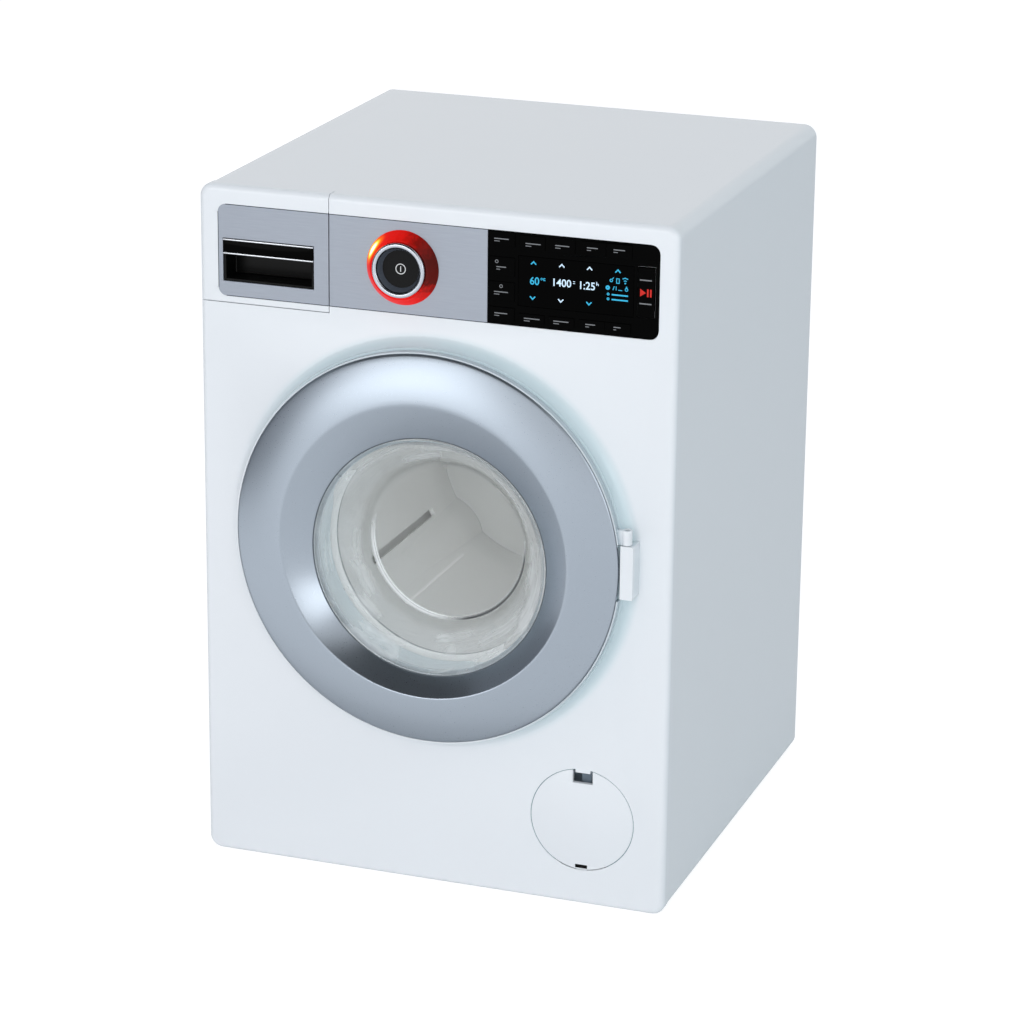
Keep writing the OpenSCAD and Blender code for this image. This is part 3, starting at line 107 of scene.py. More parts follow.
class Graph:
    """The node tree of a material or world, and short ways to add to it."""

    def __init__(self, owner: bpy.types.Material | bpy.types.World) -> None:
        """Empties the owner's node tree.

        Args:
            owner: the material or world.
        """
        owner.use_nodes = True
        self.tree = owner.node_tree
        self.tree.nodes.clear()

    def add(self, kind: str, inputs: dict | None = None, **settings: object) -> bpy.types.Node:
        """Adds one shader node with its settings, values and links.

        Args:
            kind: the node's type, without its "ShaderNode".
            inputs: by input name or number, a value or the socket that feeds it.
            settings: attributes of the node itself.

        Returns:
            The new node.
        """
        node = self.tree.nodes.new("ShaderNode" + kind)
        for name, value in settings.items():
            setattr(node, name, value)
        for key, value in (inputs or {}).items():
            if isinstance(value, Socket):
                self.tree.links.new(value, node.inputs[key])
            else:
                node.inputs[key].default_value = value
        return node

    def get(self, output: str | int, kind: str, inputs: dict | None = None, **settings: object) -> Socket:
        """Adds one shader node and gives one of its outputs."""
        return self.add(kind, inputs, **settings).outputs[output]

    @cached_property
    def place(self) -> Socket:
        """Object coordinates, in metres."""
        return self.get("Object", "TexCoord")

    def axis(self, name: str, vector: Socket | None = None) -> Socket:
        """The X, Y or Z of a vector, or of the place."""
        return self.get(name, "SeparateXYZ", {"Vector": vector or self.place})

    def math(self, operation: str, *values: Feed) -> Socket:
        """The values put through one operation, such as ADD."""
        return self.get(0, "Math", dict(enumerate(values)), operation=operation)

    def times(self, *values: Feed) -> Socket:
        """The product of the values."""
        return reduce(lambda a, b: self.math("MULTIPLY", a, b), values)

    def most(self, a: Feed, b: Feed) -> Socket:
        """The greater of two values."""
        return self.math("MAXIMUM", a, b)

    def noise(self, size_mm: float, detail: float, place: Socket | None = None, **more: float) -> Socket:
        """Noise on metre coordinates whose features are size_mm wide."""
        inputs = {"Vector": place or self.place, "Scale": 1 / (size_mm * MM), "Detail": detail, **more}
        return self.get("Fac", "TexNoise", inputs)

    def drift(self, value: Socket, level: float, part: float = 0.06) -> Socket:
        """A level that goes up and down by a part of itself as value does."""
        inputs = {"Value": value, "To Min": level * (1 - part), "To Max": level * (1 + part)}
        return self.get("Result", "MapRange", inputs)

    def step(self, value: Socket, a: float, b: float, low: float = 0.0, high: float = 1.0) -> Socket:
        """A smooth step from low where value is a to high where it is b."""
        inputs = {"Value": value, "From Min": a, "From Max": b, "To Min": low, "To Max": high}
        return self.get("Result", "MapRange", inputs, interpolation_type="SMOOTHSTEP")

    def mix(self, share: Feed, a: Feed, b: Feed, blend: str = "MIX") -> Socket:
        """Colour a where share is 0, and b, or b blended into a, where it is 1."""
        inputs = {"Factor": share, "A": a, "B": b}
        return self.get("Result", "Mix", inputs, data_type="RGBA", blend_type=blend)

    def shaded(self, colour: Socket, shade: tuple, share: Socket) -> Socket:
        """A colour, times linear red, green and blue factors where share is 1."""
        return self.mix(share, colour, (*shade, 1.0), "MULTIPLY")

    def bump(self, height: Socket, strength: float, distance: float = 0.0002) -> Socket:
        """The normal of a surface with that height map."""
        return self.get("Normal", "Bump", {"Height": height, "Strength": strength, "Distance": distance})

    def skin(self, inputs: dict) -> Socket:
        """The all-round surface shader, with these inputs by name."""
        return self.get(0, "BsdfPrincipled", inputs)

    def blend(self, share: Socket, a: Socket, b: Socket) -> Socket:
        """Shader a where share is 0 and b where it is 1."""
        return self.get(0, "MixShader", {0: share, 1: a, 2: b})

    def glow(self, colour: Colour, strength: Feed = 1.0) -> Socket:
        """A shader that only gives light."""
        return self.get(0, "Emission", {"Color": colour, "Strength": strength})

    def matt(self, colour: Feed) -> Socket:
        """A shader that scatters light evenly."""
        return self.get(0, "BsdfDiffuse", {"Color": colour})

    def ramp(self, value: Socket, stops: tuple) -> bpy.types.Node:
        """A colour ramp.

        Args:
            value: what it follows.
            stops: for each stop its place, sRGB hex and, if not 1, its alpha.

        Returns:
            The ramp's node, with the outputs Color and Alpha.
        """
        node = self.add("ValToRGB", {"Fac": value})
        elements = node.color_ramp.elements
        while len(elements) < len(stops):
            elements.new(0.5)
        for element, (at, *colour) in zip(elements, stops):
            element.position, element.color = at, linear(*colour)
        return node

    def around(self, x: float, z: float, degrees: float) -> tuple[Socket, Socket, Socket]:
        """Where the place lies round an axis that runs along Y.

        Args:
            x: the axis's X, in metres.
            z: the axis's Z.
            degrees: a direction in the front view, from +X towards +Z.

        Returns:
            The radius, the outward unit vector and its cosine with that direction.
        """
        flat = self.get(0, "Mapping", {"Vector": self.place, "Location": (-x, 0, -z), "Scale": (1, 0, 1)})
        radius = self.get("Value", "VectorMath", {0: flat}, operation="LENGTH")
        unit = self.get("Vector", "VectorMath", {0: flat}, operation="NORMALIZE")
        way = (math.cos(math.radians(degrees)), 0.0, math.sin(math.radians(degrees)))
        cosine = self.get("Value", "VectorMath", {0: unit, 1: way}, operation="DOT_PRODUCT")
        return radius, unit, cosine


@dataclass(frozen=True)
class Finish:
    """One real material and how its surface was made.

    Attributes:
        name: the maker's words for it.
    """

    name: str

    def material(self) -> bpy.types.Material:
        """The Blender material of this finish, made once and shared by its pieces.

        Returns:
            The material.
        """
        made = bpy.data.materials.get(self.name)
        if made is None:
            made = bpy.data.materials.new(self.name)
            graph = Graph(made)
            graph.add("OutputMaterial", {"Surface": self.shader(graph)})
        return made

    def shader(self, graph: Graph) -> Socket:
        """The shader of this finish, built in its graph."""
        raise NotImplementedError


@dataclass(frozen=True)
class MouldedPlastic(Finish):
    """Injection-moulded ABS: a dyed, even colour with a fine tool texture.

    Attributes:
        colour: sRGB hex of the dyed plastic.
        roughness: of the gloss, before its patches.
        patch_mm: width of the slow changes in gloss left by the mould.
        grain_mm: width of the tool's texture, drawn a little coarse to show.
        grain: strength of that texture.
        shine: specular level of its surface, 0.5 for bare plastic.
    """

    colour: str = "e6eaee"
    roughness: float = 0.3
    patch_mm: float = 35.0
    grain_mm: float = 0.7
    grain: float = 0.04
    shine: float = 0.5

    def shader(self, graph: Graph) -> Socket:
        """Gloss that drifts slowly over the surface, on a finely grained skin.

        Args:
            graph: the material's graph.

        Returns:
            The surface shader.
        """
        patch = graph.noise(self.patch_mm, 3.0)
        return graph.skin(
            {
                "Base Color": self.base_colour(graph, patch),
                "Roughness": graph.drift(patch, self.roughness),
                "Normal": graph.bump(graph.noise(self.grain_mm, 2.0), self.grain),
                "IOR": 1.5,
                "Specular IOR Level": self.shine,
            }
        )

    def base_colour(self, graph: Graph, patch: Socket) -> Socket:
        """The plastic's colour, a trace deeper in some patches.

        Args:
            graph: the material's graph.
            patch: the slow noise.

        Returns:
            The colour.
        """
        base_colour = linear(self.colour)
        return graph.mix(patch, toned(base_colour, 0.994), base_colour)


@dataclass(frozen=True)
class PanelPlastic(MouldedPlastic):
    """The front moulding's ABS, with a cool shade painted on its flare and neck.

    Attributes:
        x: the door's centre, in metres.
        z: its height.
        flare: radius at which the flare runs out.
        band: how far inside it the shade is full.
        face: Y of the front face.
        neck: radii between which the neck's shade fades.
        shade: linear factors of the shade.
        full: direction in the front view, in degrees, where the shade is full.
    """

    x: float = 0.0
    z: float = 0.1334
    flare: float = 0.0805
    band: float = 0.0045
    face: float = -0.0841
    neck: tuple[float, float] = (0.056, 0.062)
    shade: tuple[float, float, float] = (0.76, 0.87, 0.885)
    full: float = 40.0

    def base_colour(self, graph: Graph, patch: Socket) -> Socket:
        """The colour, with a cool shade painted round the door, least at its lower left.

        Args:
            graph: the material's graph.
            patch: the slow noise.

        Returns:
            The colour.
        """
        radius, _, cosine = graph.around(self.x, self.z, self.full)
        flare = graph.step(radius, self.flare - self.band, self.flare, 1.0, 0.0)
        side = graph.step(cosine, -0.75, 0.2, 0.15, 1.0)
        low = graph.step(graph.axis("Y"), self.face - 0.0064, self.face - 0.0052)
        share = graph.most(graph.times(flare, side, low), graph.step(radius, *self.neck, 0.75, 0.0))
        return graph.shaded(super().base_colour(graph, patch), self.shade, share)


@dataclass(frozen=True)
class DrumPlastic(MouldedPlastic):
    """Pearl styrene with painted shade on its mouth's lip, rear and top, and a faint painted glow.

    Attributes:
        mouth: Y of the drum's mouth, in metres.
        rear: Y of its rear disc.
        axis_z: height of its axis.
        glow: a painted glow, emission that brightens the wall in place of light inside the drum.
        lip_shade: linear factors of the shade on the mouth's lip.
        grey: linear factors of the shade towards the rear and the top.
        top: direction in the front view, in degrees, where the painted shade of the top is full.
    """

    mouth: float = -0.0715
    rear: float = 0.0457
    axis_z: float = 0.1294
    glow: float = 0.024
    lip_shade: tuple[float, float, float] = (0.2, 0.23, 0.24)
    grey: tuple[float, float, float] = (0.7, 0.71, 0.71)
    top: float = 62.0

    def shader(self, graph: Graph) -> Socket:
        """The moulded skin, with a faint painted glow.

        Args:
            graph: the material's graph.

        Returns:
            The surface shader.
        """
        skin = super().shader(graph)
        skin.node.inputs["Emission Color"].default_value = linear("f4f6f8")
        skin.node.inputs["Emission Strength"].default_value = self.glow
        return skin

    def base_colour(self, graph: Graph, patch: Socket) -> Socket:
        """The colour with painted shade: dark on the mouth's lip and darker at the rear and the top.

        Args:
            graph: the material's graph.
            patch: the slow noise.

        Returns:
            The colour.
        """
        deep = graph.axis("Y")
        start = graph.step(deep, self.mouth + 0.0001, self.mouth + 0.0003)
        end = graph.step(deep, self.mouth + 0.0011, self.mouth + 0.0017, 1.0, 0.0)
        wall = graph.step(deep, 0.02, self.rear - 0.0002, 0.0, 0.55)
        disc = graph.step(deep, self.rear - 0.0005, self.rear + 0.0005)
        radius, _, cosine = graph.around(0.0, self.axis_z, self.top)
        top = graph.step(graph.times(radius, cosine), -0.03, 0.045, 0.0, 0.6)
        edged = graph.shaded(super().base_colour(graph, patch), self.lip_shade, graph.times(start, end))
        return graph.shaded(graph.shaded(edged, self.grey, graph.most(wall, disc)), self.grey, top)


@dataclass(frozen=True)
class MetallicPaint(Finish):
    """Silver lacquer with aluminium flakes on moulded plastic.

    Attributes:
        colour: sRGB hex of the flakes.
        roughness: of the lacquer.
        metallic: share of flakes.
        flake_mm: flake size, drawn several times too coarse so that it shows.
        flake: strength of the sparkle.
        brushed: whether the film carries fine lines along X.
    """

    colour: str = "b4b9c2"
    roughness: float = 0.36
    metallic: float = 0.7
    flake_mm: float = 0.5
    flake: float = 0.05
    brushed: bool = False

    def shader(self, graph: Graph) -> Socket:
        """Fine flakes, or fine lines along X on a brushed film.

        Args:
            graph: the material's graph.

        Returns:
            The surface shader.
        """
        stretch = (0.05 if self.brushed else 1.0, 1.0, 1.0)
        drawn = graph.get(0, "Mapping", {"Vector": graph.place, "Scale": stretch})
        flake = graph.noise(self.flake_mm, 3.0, drawn)
        base, sparkle = linear(self.colour), 4 * self.flake
        return graph.skin(
            {
                "Base Color": graph.mix(flake, toned(base, 1 - sparkle), toned(base, 1 + sparkle)),
                "Metallic": self.metallic,
                "Roughness": graph.drift(flake, self.roughness),
                "Normal": graph.bump(flake, self.flake),
            }
        )


@dataclass(frozen=True)
class Metal(Finish):
    """Bare or plated metal.

    Attributes:
        colour: sRGB hex of its reflection.
        roughness: of its surface.
        wear_mm: width of the faint rubbed patches.
    """

    colour: str = "c8cacd"
    roughness: float = 0.25
    wear_mm: float = 6.0

    def shader(self, graph: Graph) -> Socket:
        """A mirror whose sharpness drifts where hands rubbed it."""
        gloss = graph.drift(graph.noise(self.wear_mm, 4.0), self.roughness, 0.3)
        return graph.skin({"Base Color": linear(self.colour), "Metallic": 1.0, "Roughness": gloss})


@dataclass(frozen=True)
class ClearPlastic(Finish):
    """Clear moulded polystyrene, polished by its mould.

    Attributes:
        tint: sRGB hex of the light that passes.
        ior: refraction, a little under polystyrene's so that little is hidden.
        flow_mm: width of the waves that the melt's flow leaves.
        haze: share of light that the cone's hazy streaks scatter at most.
        x: X of the bowl's axis, in metres.
        z: Z of that axis.
        back: Y of the cone's inner end.
        edge_r: radius of the flat back's edge.
        bright: direction in the front view, in degrees, of the edge's painted highlight.
        dark: direction of its painted dark line.
        sheen_way: direction in which the streaks are strongest, a painted reflection on the haze.
    """

    tint: str = "feffff"
    ior: float = 1.42
    flow_mm: float = 18.0
    haze: float = 0.46
    x: float = 0.0
    z: float = 0.1294
    back: float = -0.0700
    edge_r: float = 0.0300
    bright: float = 222.0
    dark: float = 318.0
    sheen_way: float = -52.0

    def shader(self, graph: Graph) -> Socket:
        """Refracting plastic with slight flow waves, which lets shadow rays pass.

        Args:
            graph: the material's graph.

        Returns:
            The surface shader.
        """
        clear = graph.skin(
            {
                "Base Color": linear(self.tint),
                "Roughness": 0.01,
                "IOR": self.ior,
                "Transmission Weight": 1.0,
                "Normal": graph.bump(graph.noise(self.flow_mm, 1.0), 0.04, 0.001),
            }
        )
        # The back edge's painted highlight and dark line, and the hazy streaks, mix in as matt colour
        edge, colour = self.edge(graph)
        body = graph.blend(graph.most(self.haze_and_sheen(graph), edge), clear, graph.matt(colour))
        passing = graph.get(0, "BsdfTransparent", {"Color": linear(self.tint)})
        ray = graph.add("LightPath").outputs
        return graph.blend(graph.most(ray["Is Shadow Ray"], ray["Is Diffuse Ray"]), body, passing)

    def edge(self, graph: Graph) -> tuple[Socket, Socket]:
        """A painted highlight on the bowl's rounded back edge at its lower left, and a painted dark line at
        its lower right.

        Args:
            graph: the material's graph.

        Returns:
            The share of the edge's painted colour, and that colour.
        """
        radius, _, cosine = graph.around(self.x, self.z, self.bright)
        start = graph.step(radius, self.edge_r - 0.0008, self.edge_r - 0.0001)
        end = graph.step(radius, self.edge_r + 0.0001, self.edge_r + 0.0008, 1.0, 0.0)
        band = graph.times(start, end)
        left = graph.step(cosine, 0.5, 0.9, 0.0, 0.8)
        right = graph.step(graph.around(self.x, self.z, self.dark)[2], 0.6, 0.85, 0.0, 0.95)
        share = graph.times(band, graph.most(left, right))
        return share, graph.mix(graph.times(right, band), linear("f8fafa"), linear("202426"))

    def haze_and_sheen(self, graph: Graph) -> Socket:
        """Share of scattered light: hazy streaks along the cone, strongest at its lower right as a painted
        reflection.

        Args:
            graph: the material's graph.

        Returns:
            The share, 0 on the flat back.
        """
        _, unit, cosine = graph.around(self.x, self.z, self.sheen_way)
        inputs = {0: graph.place, 1: (0.0, 95.0, 0.0), 2: unit}
        drawn = graph.get(0, "VectorMath", inputs, operation="MULTIPLY_ADD")
        flow = {"Vector": drawn, "Scale": 1.5, "Detail": 3.0, "Distortion": 1.1}
        streak = graph.step(graph.get("Fac", "TexNoise", flow), 0.44, 0.7, 0.15, self.haze)
        side = graph.step(cosine, -0.1, 0.85, 0.8, 1.0)
        cone = graph.step(graph.axis("Y"), self.back - 0.004, self.back, 1.0, 0.0)
        return graph.times(streak, side, cone)


@dataclass(frozen=True)
class Lamp(Finish):
    """A lit sign of a display, or a print drawn as a painted glow.

    Attributes:
        colour: sRGB hex of the light.
        strength: 1 shows the colour as written.
        dot_mm: size of the mask's dots.
    """

    colour: str = "7fd4ff"
    strength: float = 1.0
    dot_mm: float = 0.8

    def shader(self, graph: Graph) -> Socket:
        """Even light behind a fine dot mask.

        Args:
            graph: the material's graph.

        Returns:
            The surface shader.
        """
        return graph.skin(
            {
                "Base Color": (0.02, 0.02, 0.02, 1.0),
                "Roughness": 0.5,
                "Specular IOR Level": 0.04,
                "Emission Color": linear(self.colour),
                "Emission Strength": graph.drift(graph.noise(self.dot_mm, 1.0), self.strength, 0.2),
            }
        )


@dataclass(frozen=True)
class LitCollar(Finish):
    """Red translucent styrene, lit from below by lamps on the board.

    Attributes:
        centre: the dial's centre in metres of the CAD frame.
        lamp: the brightest point, over a lamp.
        around_dial: colours by angle, from the left over the foot, right and top.
        over_lamp: colours outwards from the lamp, with the spot's share.
    """

    centre: tuple[float, float, float] = (0.0, 0.0, 0.0)
    lamp: tuple[float, float, float] = (0.0, 0.0, 0.0)
    around_dial: tuple = (
        *((0.0, "e8120f"), (0.16, "ee1512"), (0.30, "f01713"), (0.38, "c8150f"), (0.45, "4e0f09")),
        *((0.56, "3c0c07"), (0.66, "7c0f09"), (0.74, "d41610"), (0.86, "f21a14"), (1.0, "e8120f")),
    )
    over_lamp: tuple = (
        *((0.0, "ffffff"), (0.17, "fffbe0"), (0.27, "ffdd38"), (0.4, "ff7a18", 0.8), (0.7, "f0301a", 0.0)),
    )

    def shader(self, graph: Graph) -> Socket:
        """Light by angle round the dial, dark and streaky away from the lamps.

        Args:
            graph: the material's graph.

        Returns:
            The surface shader.
        """
        out = graph.get(0, "Mapping", {"Vector": graph.place, "Location": tuple(-c for c in self.centre)})
        angle = graph.math("ARCTAN2", graph.axis("Z", out), graph.axis("X", out))
        turn = graph.get("Result", "MapRange", {"Value": angle, "From Min": -math.pi, "From Max": math.pi})
        streak = graph.noise(1.6, 3.0, out, Distortion=0.6)
        shaken = graph.math("ADD", graph.math("MULTIPLY_ADD", streak, 0.12, turn), -0.06)
        ring = graph.ramp(shaken, self.around_dial).outputs["Color"]
        spot = self.spot(graph).outputs
        return graph.skin(
            {
                "Base Color": linear("3a0504"),
                "Roughness": 0.3,
                "Specular IOR Level": 0.1,
                "Emission Color": graph.mix(spot["Alpha"], ring, spot["Color"]),
                "Emission Strength": graph.step(spot["Alpha"], 0.2, 1.0, 0.92, 1.3),
            }
        )

    def spot(self, graph: Graph) -> bpy.types.Node:
        """The bright spot over a lamp, drawn out round the dial.

        Args:
            graph: the material's graph.

        Returns:
            The ramp's node, whose alpha is the spot's share.
        """
        turn = math.pi - math.atan2(self.lamp[2] - self.centre[2], self.lamp[0] - self.centre[0])
        centred = {"Location": self.lamp, "Rotation": (0, turn, 0), "Scale": (1, 1, 2.4)}
        near = graph.get(0, "Mapping", {"Vector": graph.place, **centred}, vector_type="TEXTURE")
        far = graph.get("Value", "VectorMath", {0: near}, operation="LENGTH")
        return graph.ramp(graph.times(far, 195.0), self.over_lamp)


# Finishes of this toy. Each comment says what the finish gives the eye.
# Clean cool white with a soft sheen, so that the case reads as glossy plastic
WHITE = MouldedPlastic("gloss white ABS, moulded", "eaedf0", 0.26, 45.0, 0.9, 0.03)
# The same white, with a cool shade painted round the door's flare and neck, so that the flare looks deep
PANEL = PanelPlastic("gloss white ABS, front moulding", "eaedf0", 0.26, 45.0, 0.9, 0.03)
# Duller, warmer white that sets inner parts apart from the case
INNER = MouldedPlastic("natural white ABS, moulded", "eff0ee", 0.45, 30.0, 0.8, 0.04)
# White with shade painted on it under the ring, so that the door stands off the case
FRAME = PanelPlastic(
    "gloss white ABS, door frame", "eaedf0", 0.26, 45.0, 0.9, 0.03,
    flare=0.0775, face=-0.0866, shade=(0.5, 0.58, 0.62),
)
# Milky white wall with a faint painted glow and painted shade on its lip, rear and top: a deep drum
DRUM = DrumPlastic("pearl white styrene, moulded", "f6f6f4", 0.34, 24.0, 0.8, 0.03)
# The same wall with a stronger painted glow, so that a lifter's edge shows as a pale line
RIDGE = DrumPlastic("pearl white styrene, thin ridge", "f8f8f6", 0.34, 24.0, 0.8, 0.03, glow=0.14)
# Silicone set to mid grey as painted shade, so that it shows as a soft dark line
SEAL = MouldedPlastic("silicone, painted grey shade", "8d9396", 0.6, 8.0, 0.5, 0.08)
# Deep black with a faint gloss that draws the pocket's walls
BLACK = MouldedPlastic("black ABS, satin moulded", "080808", 0.3, 12.0, 0.5, 0.05, 0.12)
# Blacker and smoother, so that the panel looks polished
BLACK_GLOSS = MouldedPlastic("black ABS, polished", "030303", 0.12, 10.0, 0.6, 0.01, 0.02)
# The deepest black, on which the display's signs shine
SCREEN = MouldedPlastic("smoked acrylic, polished", "020202", 0.06, 14.0, 0.6, 0.005, 0.02)
# Silky charcoal that keeps the button apart from the polished parts
BUTTON = MouldedPlastic("black ABS, silk moulded", "0d0d0e", 0.42, 8.0, 0.5, 0.03, 0.12)
# Slate grey on the black button's slope, a painted sheen that shows the button's dish
SLOPE_SHEEN = MouldedPlastic("black ABS, painted grey sheen", "4a4f58", 0.22, 6.0, 0.5, 0.02, 0.3)
# Grey-teal ring of painted shade that reads as the narrow gap round the flap
SEAM_SHADE = MouldedPlastic("white ABS, painted seam shade", "7b979d", 0.5, 6.0, 0.5, 0.03, 0.2)
# Dark ring of painted shade that parts the ring from the glass
GAP_SHADE = MouldedPlastic("grey ABS, painted gap shade", "5d646a", 0.5, 6.0, 0.5, 0.03, 0.2)
# Thin dark line of painted shade that outlines the silver inlay
OUTLINE_SHADE = MouldedPlastic("grey ABS, painted deep shade", "3d464e", 0.5, 6.0, 0.5, 0.03, 0.2)
# Blue-grey seen through the finger slot, as a part behind the flap
CAP = MouldedPlastic("blue-grey ABS, moulded", "8493a1", 0.45, 9.0, 0.6, 0.05)
# Ivory that marks the running gear in the hidden works
GEAR = MouldedPlastic("ivory acetal, moulded", "e4dfd2", 0.4, 6.0, 0.5, 0.04)
# Mottled green of a circuit board
BOARD = MouldedPlastic("green solder lacquer", "1e5a33", 0.35, 3.0, 0.4, 0.08)
# Green sleeve that tells a cell from its steel ends
CELL = MouldedPlastic("green shrink sleeve", "3f8f68", 0.3, 5.0, 0.6, 0.03)
# Cool silver with faint fine lines, less bright than the ring
PLATE = MetallicPaint("brushed silver foil", "999fa9", 0.42, 0.6, 0.45, 0.022, True)
# Blue-grey silver with a soft, wide highlight and hardly a sparkle
RING = MetallicPaint("silver flake lacquer", "9fa8b2", 0.28, 0.88, 0.4, 0.003)
# Pale satin metal that rings the dark button
CHROME = Metal("satin chrome plating", "b7bcc4", 0.24)
# Bright thin lines that edge the drawer's bar
TRIM = Metal("bright chrome line", "cfd2d7", 0.2)
# Dull grey metal of screws, shafts and cell ends
STEEL = Metal("zinc-plated steel", "b5b7ba", 0.35)
# Warm yellow metal of the bushing
BRASS = Metal("turned brass", "c9a24b", 0.3)
# Clear bowl whose streaks and bright edge show where it is
CLEAR = ClearPlastic("clear styrene, moulded")
# Lit blue of the display's digits and signs
CYAN = Lamp("cyan display light", "35bdea", 1.0)
# Paler light for the small signs round them
ICE = Lamp("white display light", "cfeaff", 1.15)
# Red light of the warning sign
RED_SIGN = Lamp("red display light", "cf2216", 1.0)
# Dim grey print drawn as a faint painted glow, so that it stays behind the lit signs
INK_GLOW = Lamp("grey key print", "92969b", 0.7)
# White print drawn as a painted glow, the clearest mark on black
WHITE_SIGN_GLOW = Lamp("white print", "e2e5e8", 0.9)

SLOT_FINISH: dict[str, Finish] = dict(
    white_body=WHITE, white_inner=INNER, silver_plate=PLATE, silver_ring=RING, black_gloss=BLACK_GLOSS,
    screen_gloss=SCREEN, black_plastic=BLACK, chrome_ring=CHROME, red_light=RED_SIGN, drum_plastic=DRUM,
    clear_bowl=CLEAR, cap_grey=CAP, seal=SEAL, steel=STEEL, brass=BRASS, gear_plastic=GEAR,
    board_green=BOARD, cell_sleeve=CELL,
)
SLOT_OF = {s["node"]: s["material_slot"] for s in frame["record"]["subparts"]}


# ------------------------------------------------------------------ surfaces


@dataclass(frozen=True)
class FrontSpace:
    """Front space: x right, z up and d out of the front face, in millimetres.

    Attributes:
        face: where the front face lies on Y, in metres.
    """

    face: float

    def metres(self, x: np.ndarray, z: np.ndarray, d: np.ndarray) -> np.ndarray:
        """Points of the CAD frame: X = x, Y = face - d and Z = z.

        Args:
            x: places to the right.
            z: heights.
            d: distances out of the front face.

        Returns:
            An array of points with one more axis than the inputs.
        """
        x, z, d = np.broadcast_arrays(np.asarray(x, float), z, d)
        return np.stack([x * MM, self.face - d * MM, z * MM], axis=-1)

    def span(self, node: str) -> tuple[np.ndarray, np.ndarray]:
        """Box of a CAD node.

        Args:
            node: the node's name.

        Returns:
            Lowest and highest (x, z, d), in millimetres.
        """
        low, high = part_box(node)
        a = np.array([low.x, low.z, self.face - high.y]) / MM
        return a, np.array([high.x, high.z, self.face - low.y]) / MM

    def middle(self, node: str) -> tuple[float, float]:
        """The x and z of the middle of a CAD node's box."""
        low, high = self.span(node)
        return (low[0] + high[0]) / 2, (low[1] + high[1]) / 2


FRONT = FrontSpace(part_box("fascia_plate")[0].y)
# Angle in degrees above which an edge of a CAD mesh counts as one
CREASE = 28.0
# Angle in degrees up to which the facets of a CAD mesh merge
FLAT = 0.4
# Distance in metres under which two points are one
WELD = 2e-6


def fan(degrees: np.ndarray, r: float | np.ndarray = 1.0) -> np.ndarray:
    """Points (r cos a, r sin a) of a flat arc or circle, one row each."""
    a = np.radians(degrees)
    return np.column_stack([r * np.cos(a), r * np.sin(a)])


def grid_faces(rows: int, cols: int, close_rows: bool) -> list[list[int]]:
    """Quads of a grid of points whose rows are closed loops.

    Args:
        rows: number of rows of points.
        cols: number of points in a row.
        close_rows: whether the last row joins the first.

    Returns:
        Faces of four point numbers each, worked out as whole index arrays.
    """
    i, j = np.meshgrid(np.arange(rows if close_rows else rows - 1), np.arange(cols), indexing="ij")
    k, m = (i + 1) % rows, (j + 1) % cols
    return np.stack([i * cols + j, i * cols + m, k * cols + m, k * cols + j], axis=-1).reshape(-1, 4).tolist()


def placed(name: str, data: bpy.types.ID) -> Piece:
    """Puts a mesh, curve, light or camera into the scene.

    Args:
        name: the object's name.
        data: what it shows.

    Returns:
        The new object.
    """
    made = bpy.data.objects.new(name, data)
    bpy.context.scene.collection.objects.link(made)
    return made


def tidy(mesh: bpy.types.Mesh, crease: float, flat: float = 0.0) -> None:
    """Welds doubles and keeps edges sharper than crease sharp.

    Args:
        mesh: the mesh to change.
        crease: angle in degrees above which an edge stays sharp.
        flat: for a CAD mesh, the angle up to which its facets merge. With 0
            the mesh is new, and its faces are turned outwards.
    """
    work = bmesh.new()
    work.from_mesh(mesh)
    weld = {"verts": work.verts, "dist": WELD}
    bmesh.ops.remove_doubles(work, **weld)
    if flat:
        bmesh.ops.dissolve_limit(work, angle_limit=math.radians(flat), verts=work.verts, edges=work.edges)
        bmesh.ops.remove_doubles(work, **weld)
    bmesh.ops.dissolve_degenerate(work, edges=work.edges, dist=1e-6)
    if not flat:
        bmesh.ops.recalc_face_normals(work, faces=work.faces)
    limit = math.radians(crease)
    for edge in work.edges:
        edge.smooth = len(edge.link_faces) == 2 and edge.calc_face_angle(0.0) < limit
    for face in work.faces:
        face.smooth = True
    work.to_mesh(mesh)
    work.free()


def mesh_object(name: str, points: np.ndarray, faces: list, crease: float = 35.0) -> Piece:
    """Makes an object at the origin from points and faces.

    Args:
        name: the piece's name.
        points: an array of points in metres.
        faces: point numbers of each face.
        crease: angle in degrees above which an edge stays sharp.

    Returns:
        The new object, linked to the scene.
    """
    mesh = bpy.data.meshes.new(name)
    mesh.from_pydata(points.reshape(-1, 3), [], faces)
    mesh.update()
    tidy(mesh, crease)
    return placed(name, mesh)


def rounded(corners: list[tuple], steps: int = 5) -> np.ndarray:
    """Rounds the corners of a closed profile.

    Each corner (values..., radius) gives a quadratic curve that starts radius
    before the corner and ends radius after it: with a and b those two points
    and c the corner, P(t) = (1-t)^2 a + 2t(1-t) c + t^2 b.

    Args:
        corners: points of any dimension, each with its rounding last.
        steps: points on each rounding.

    Returns:
        The profile's points, one row each.
    """
    spots = np.array([c[:-1] for c in corners], float)
    t = np.linspace(0, 1, steps)[:, None]
    out = []
    for here, before, after, corner in zip(spots, np.roll(spots, 1, 0), np.roll(spots, -1, 0), corners):
        if corner[-1] <= 0:
            out.append(here[None, :])
            continue
        a, b = (
            here + (far - here) * min(0.45, corner[-1] / max(1e-9, np.linalg.norm(far - here)))
            for far in (before, after)
        )
        out.append((1 - t) ** 2 * a + 2 * t * (1 - t) * here + t**2 * b)
    return np.concatenate(out)


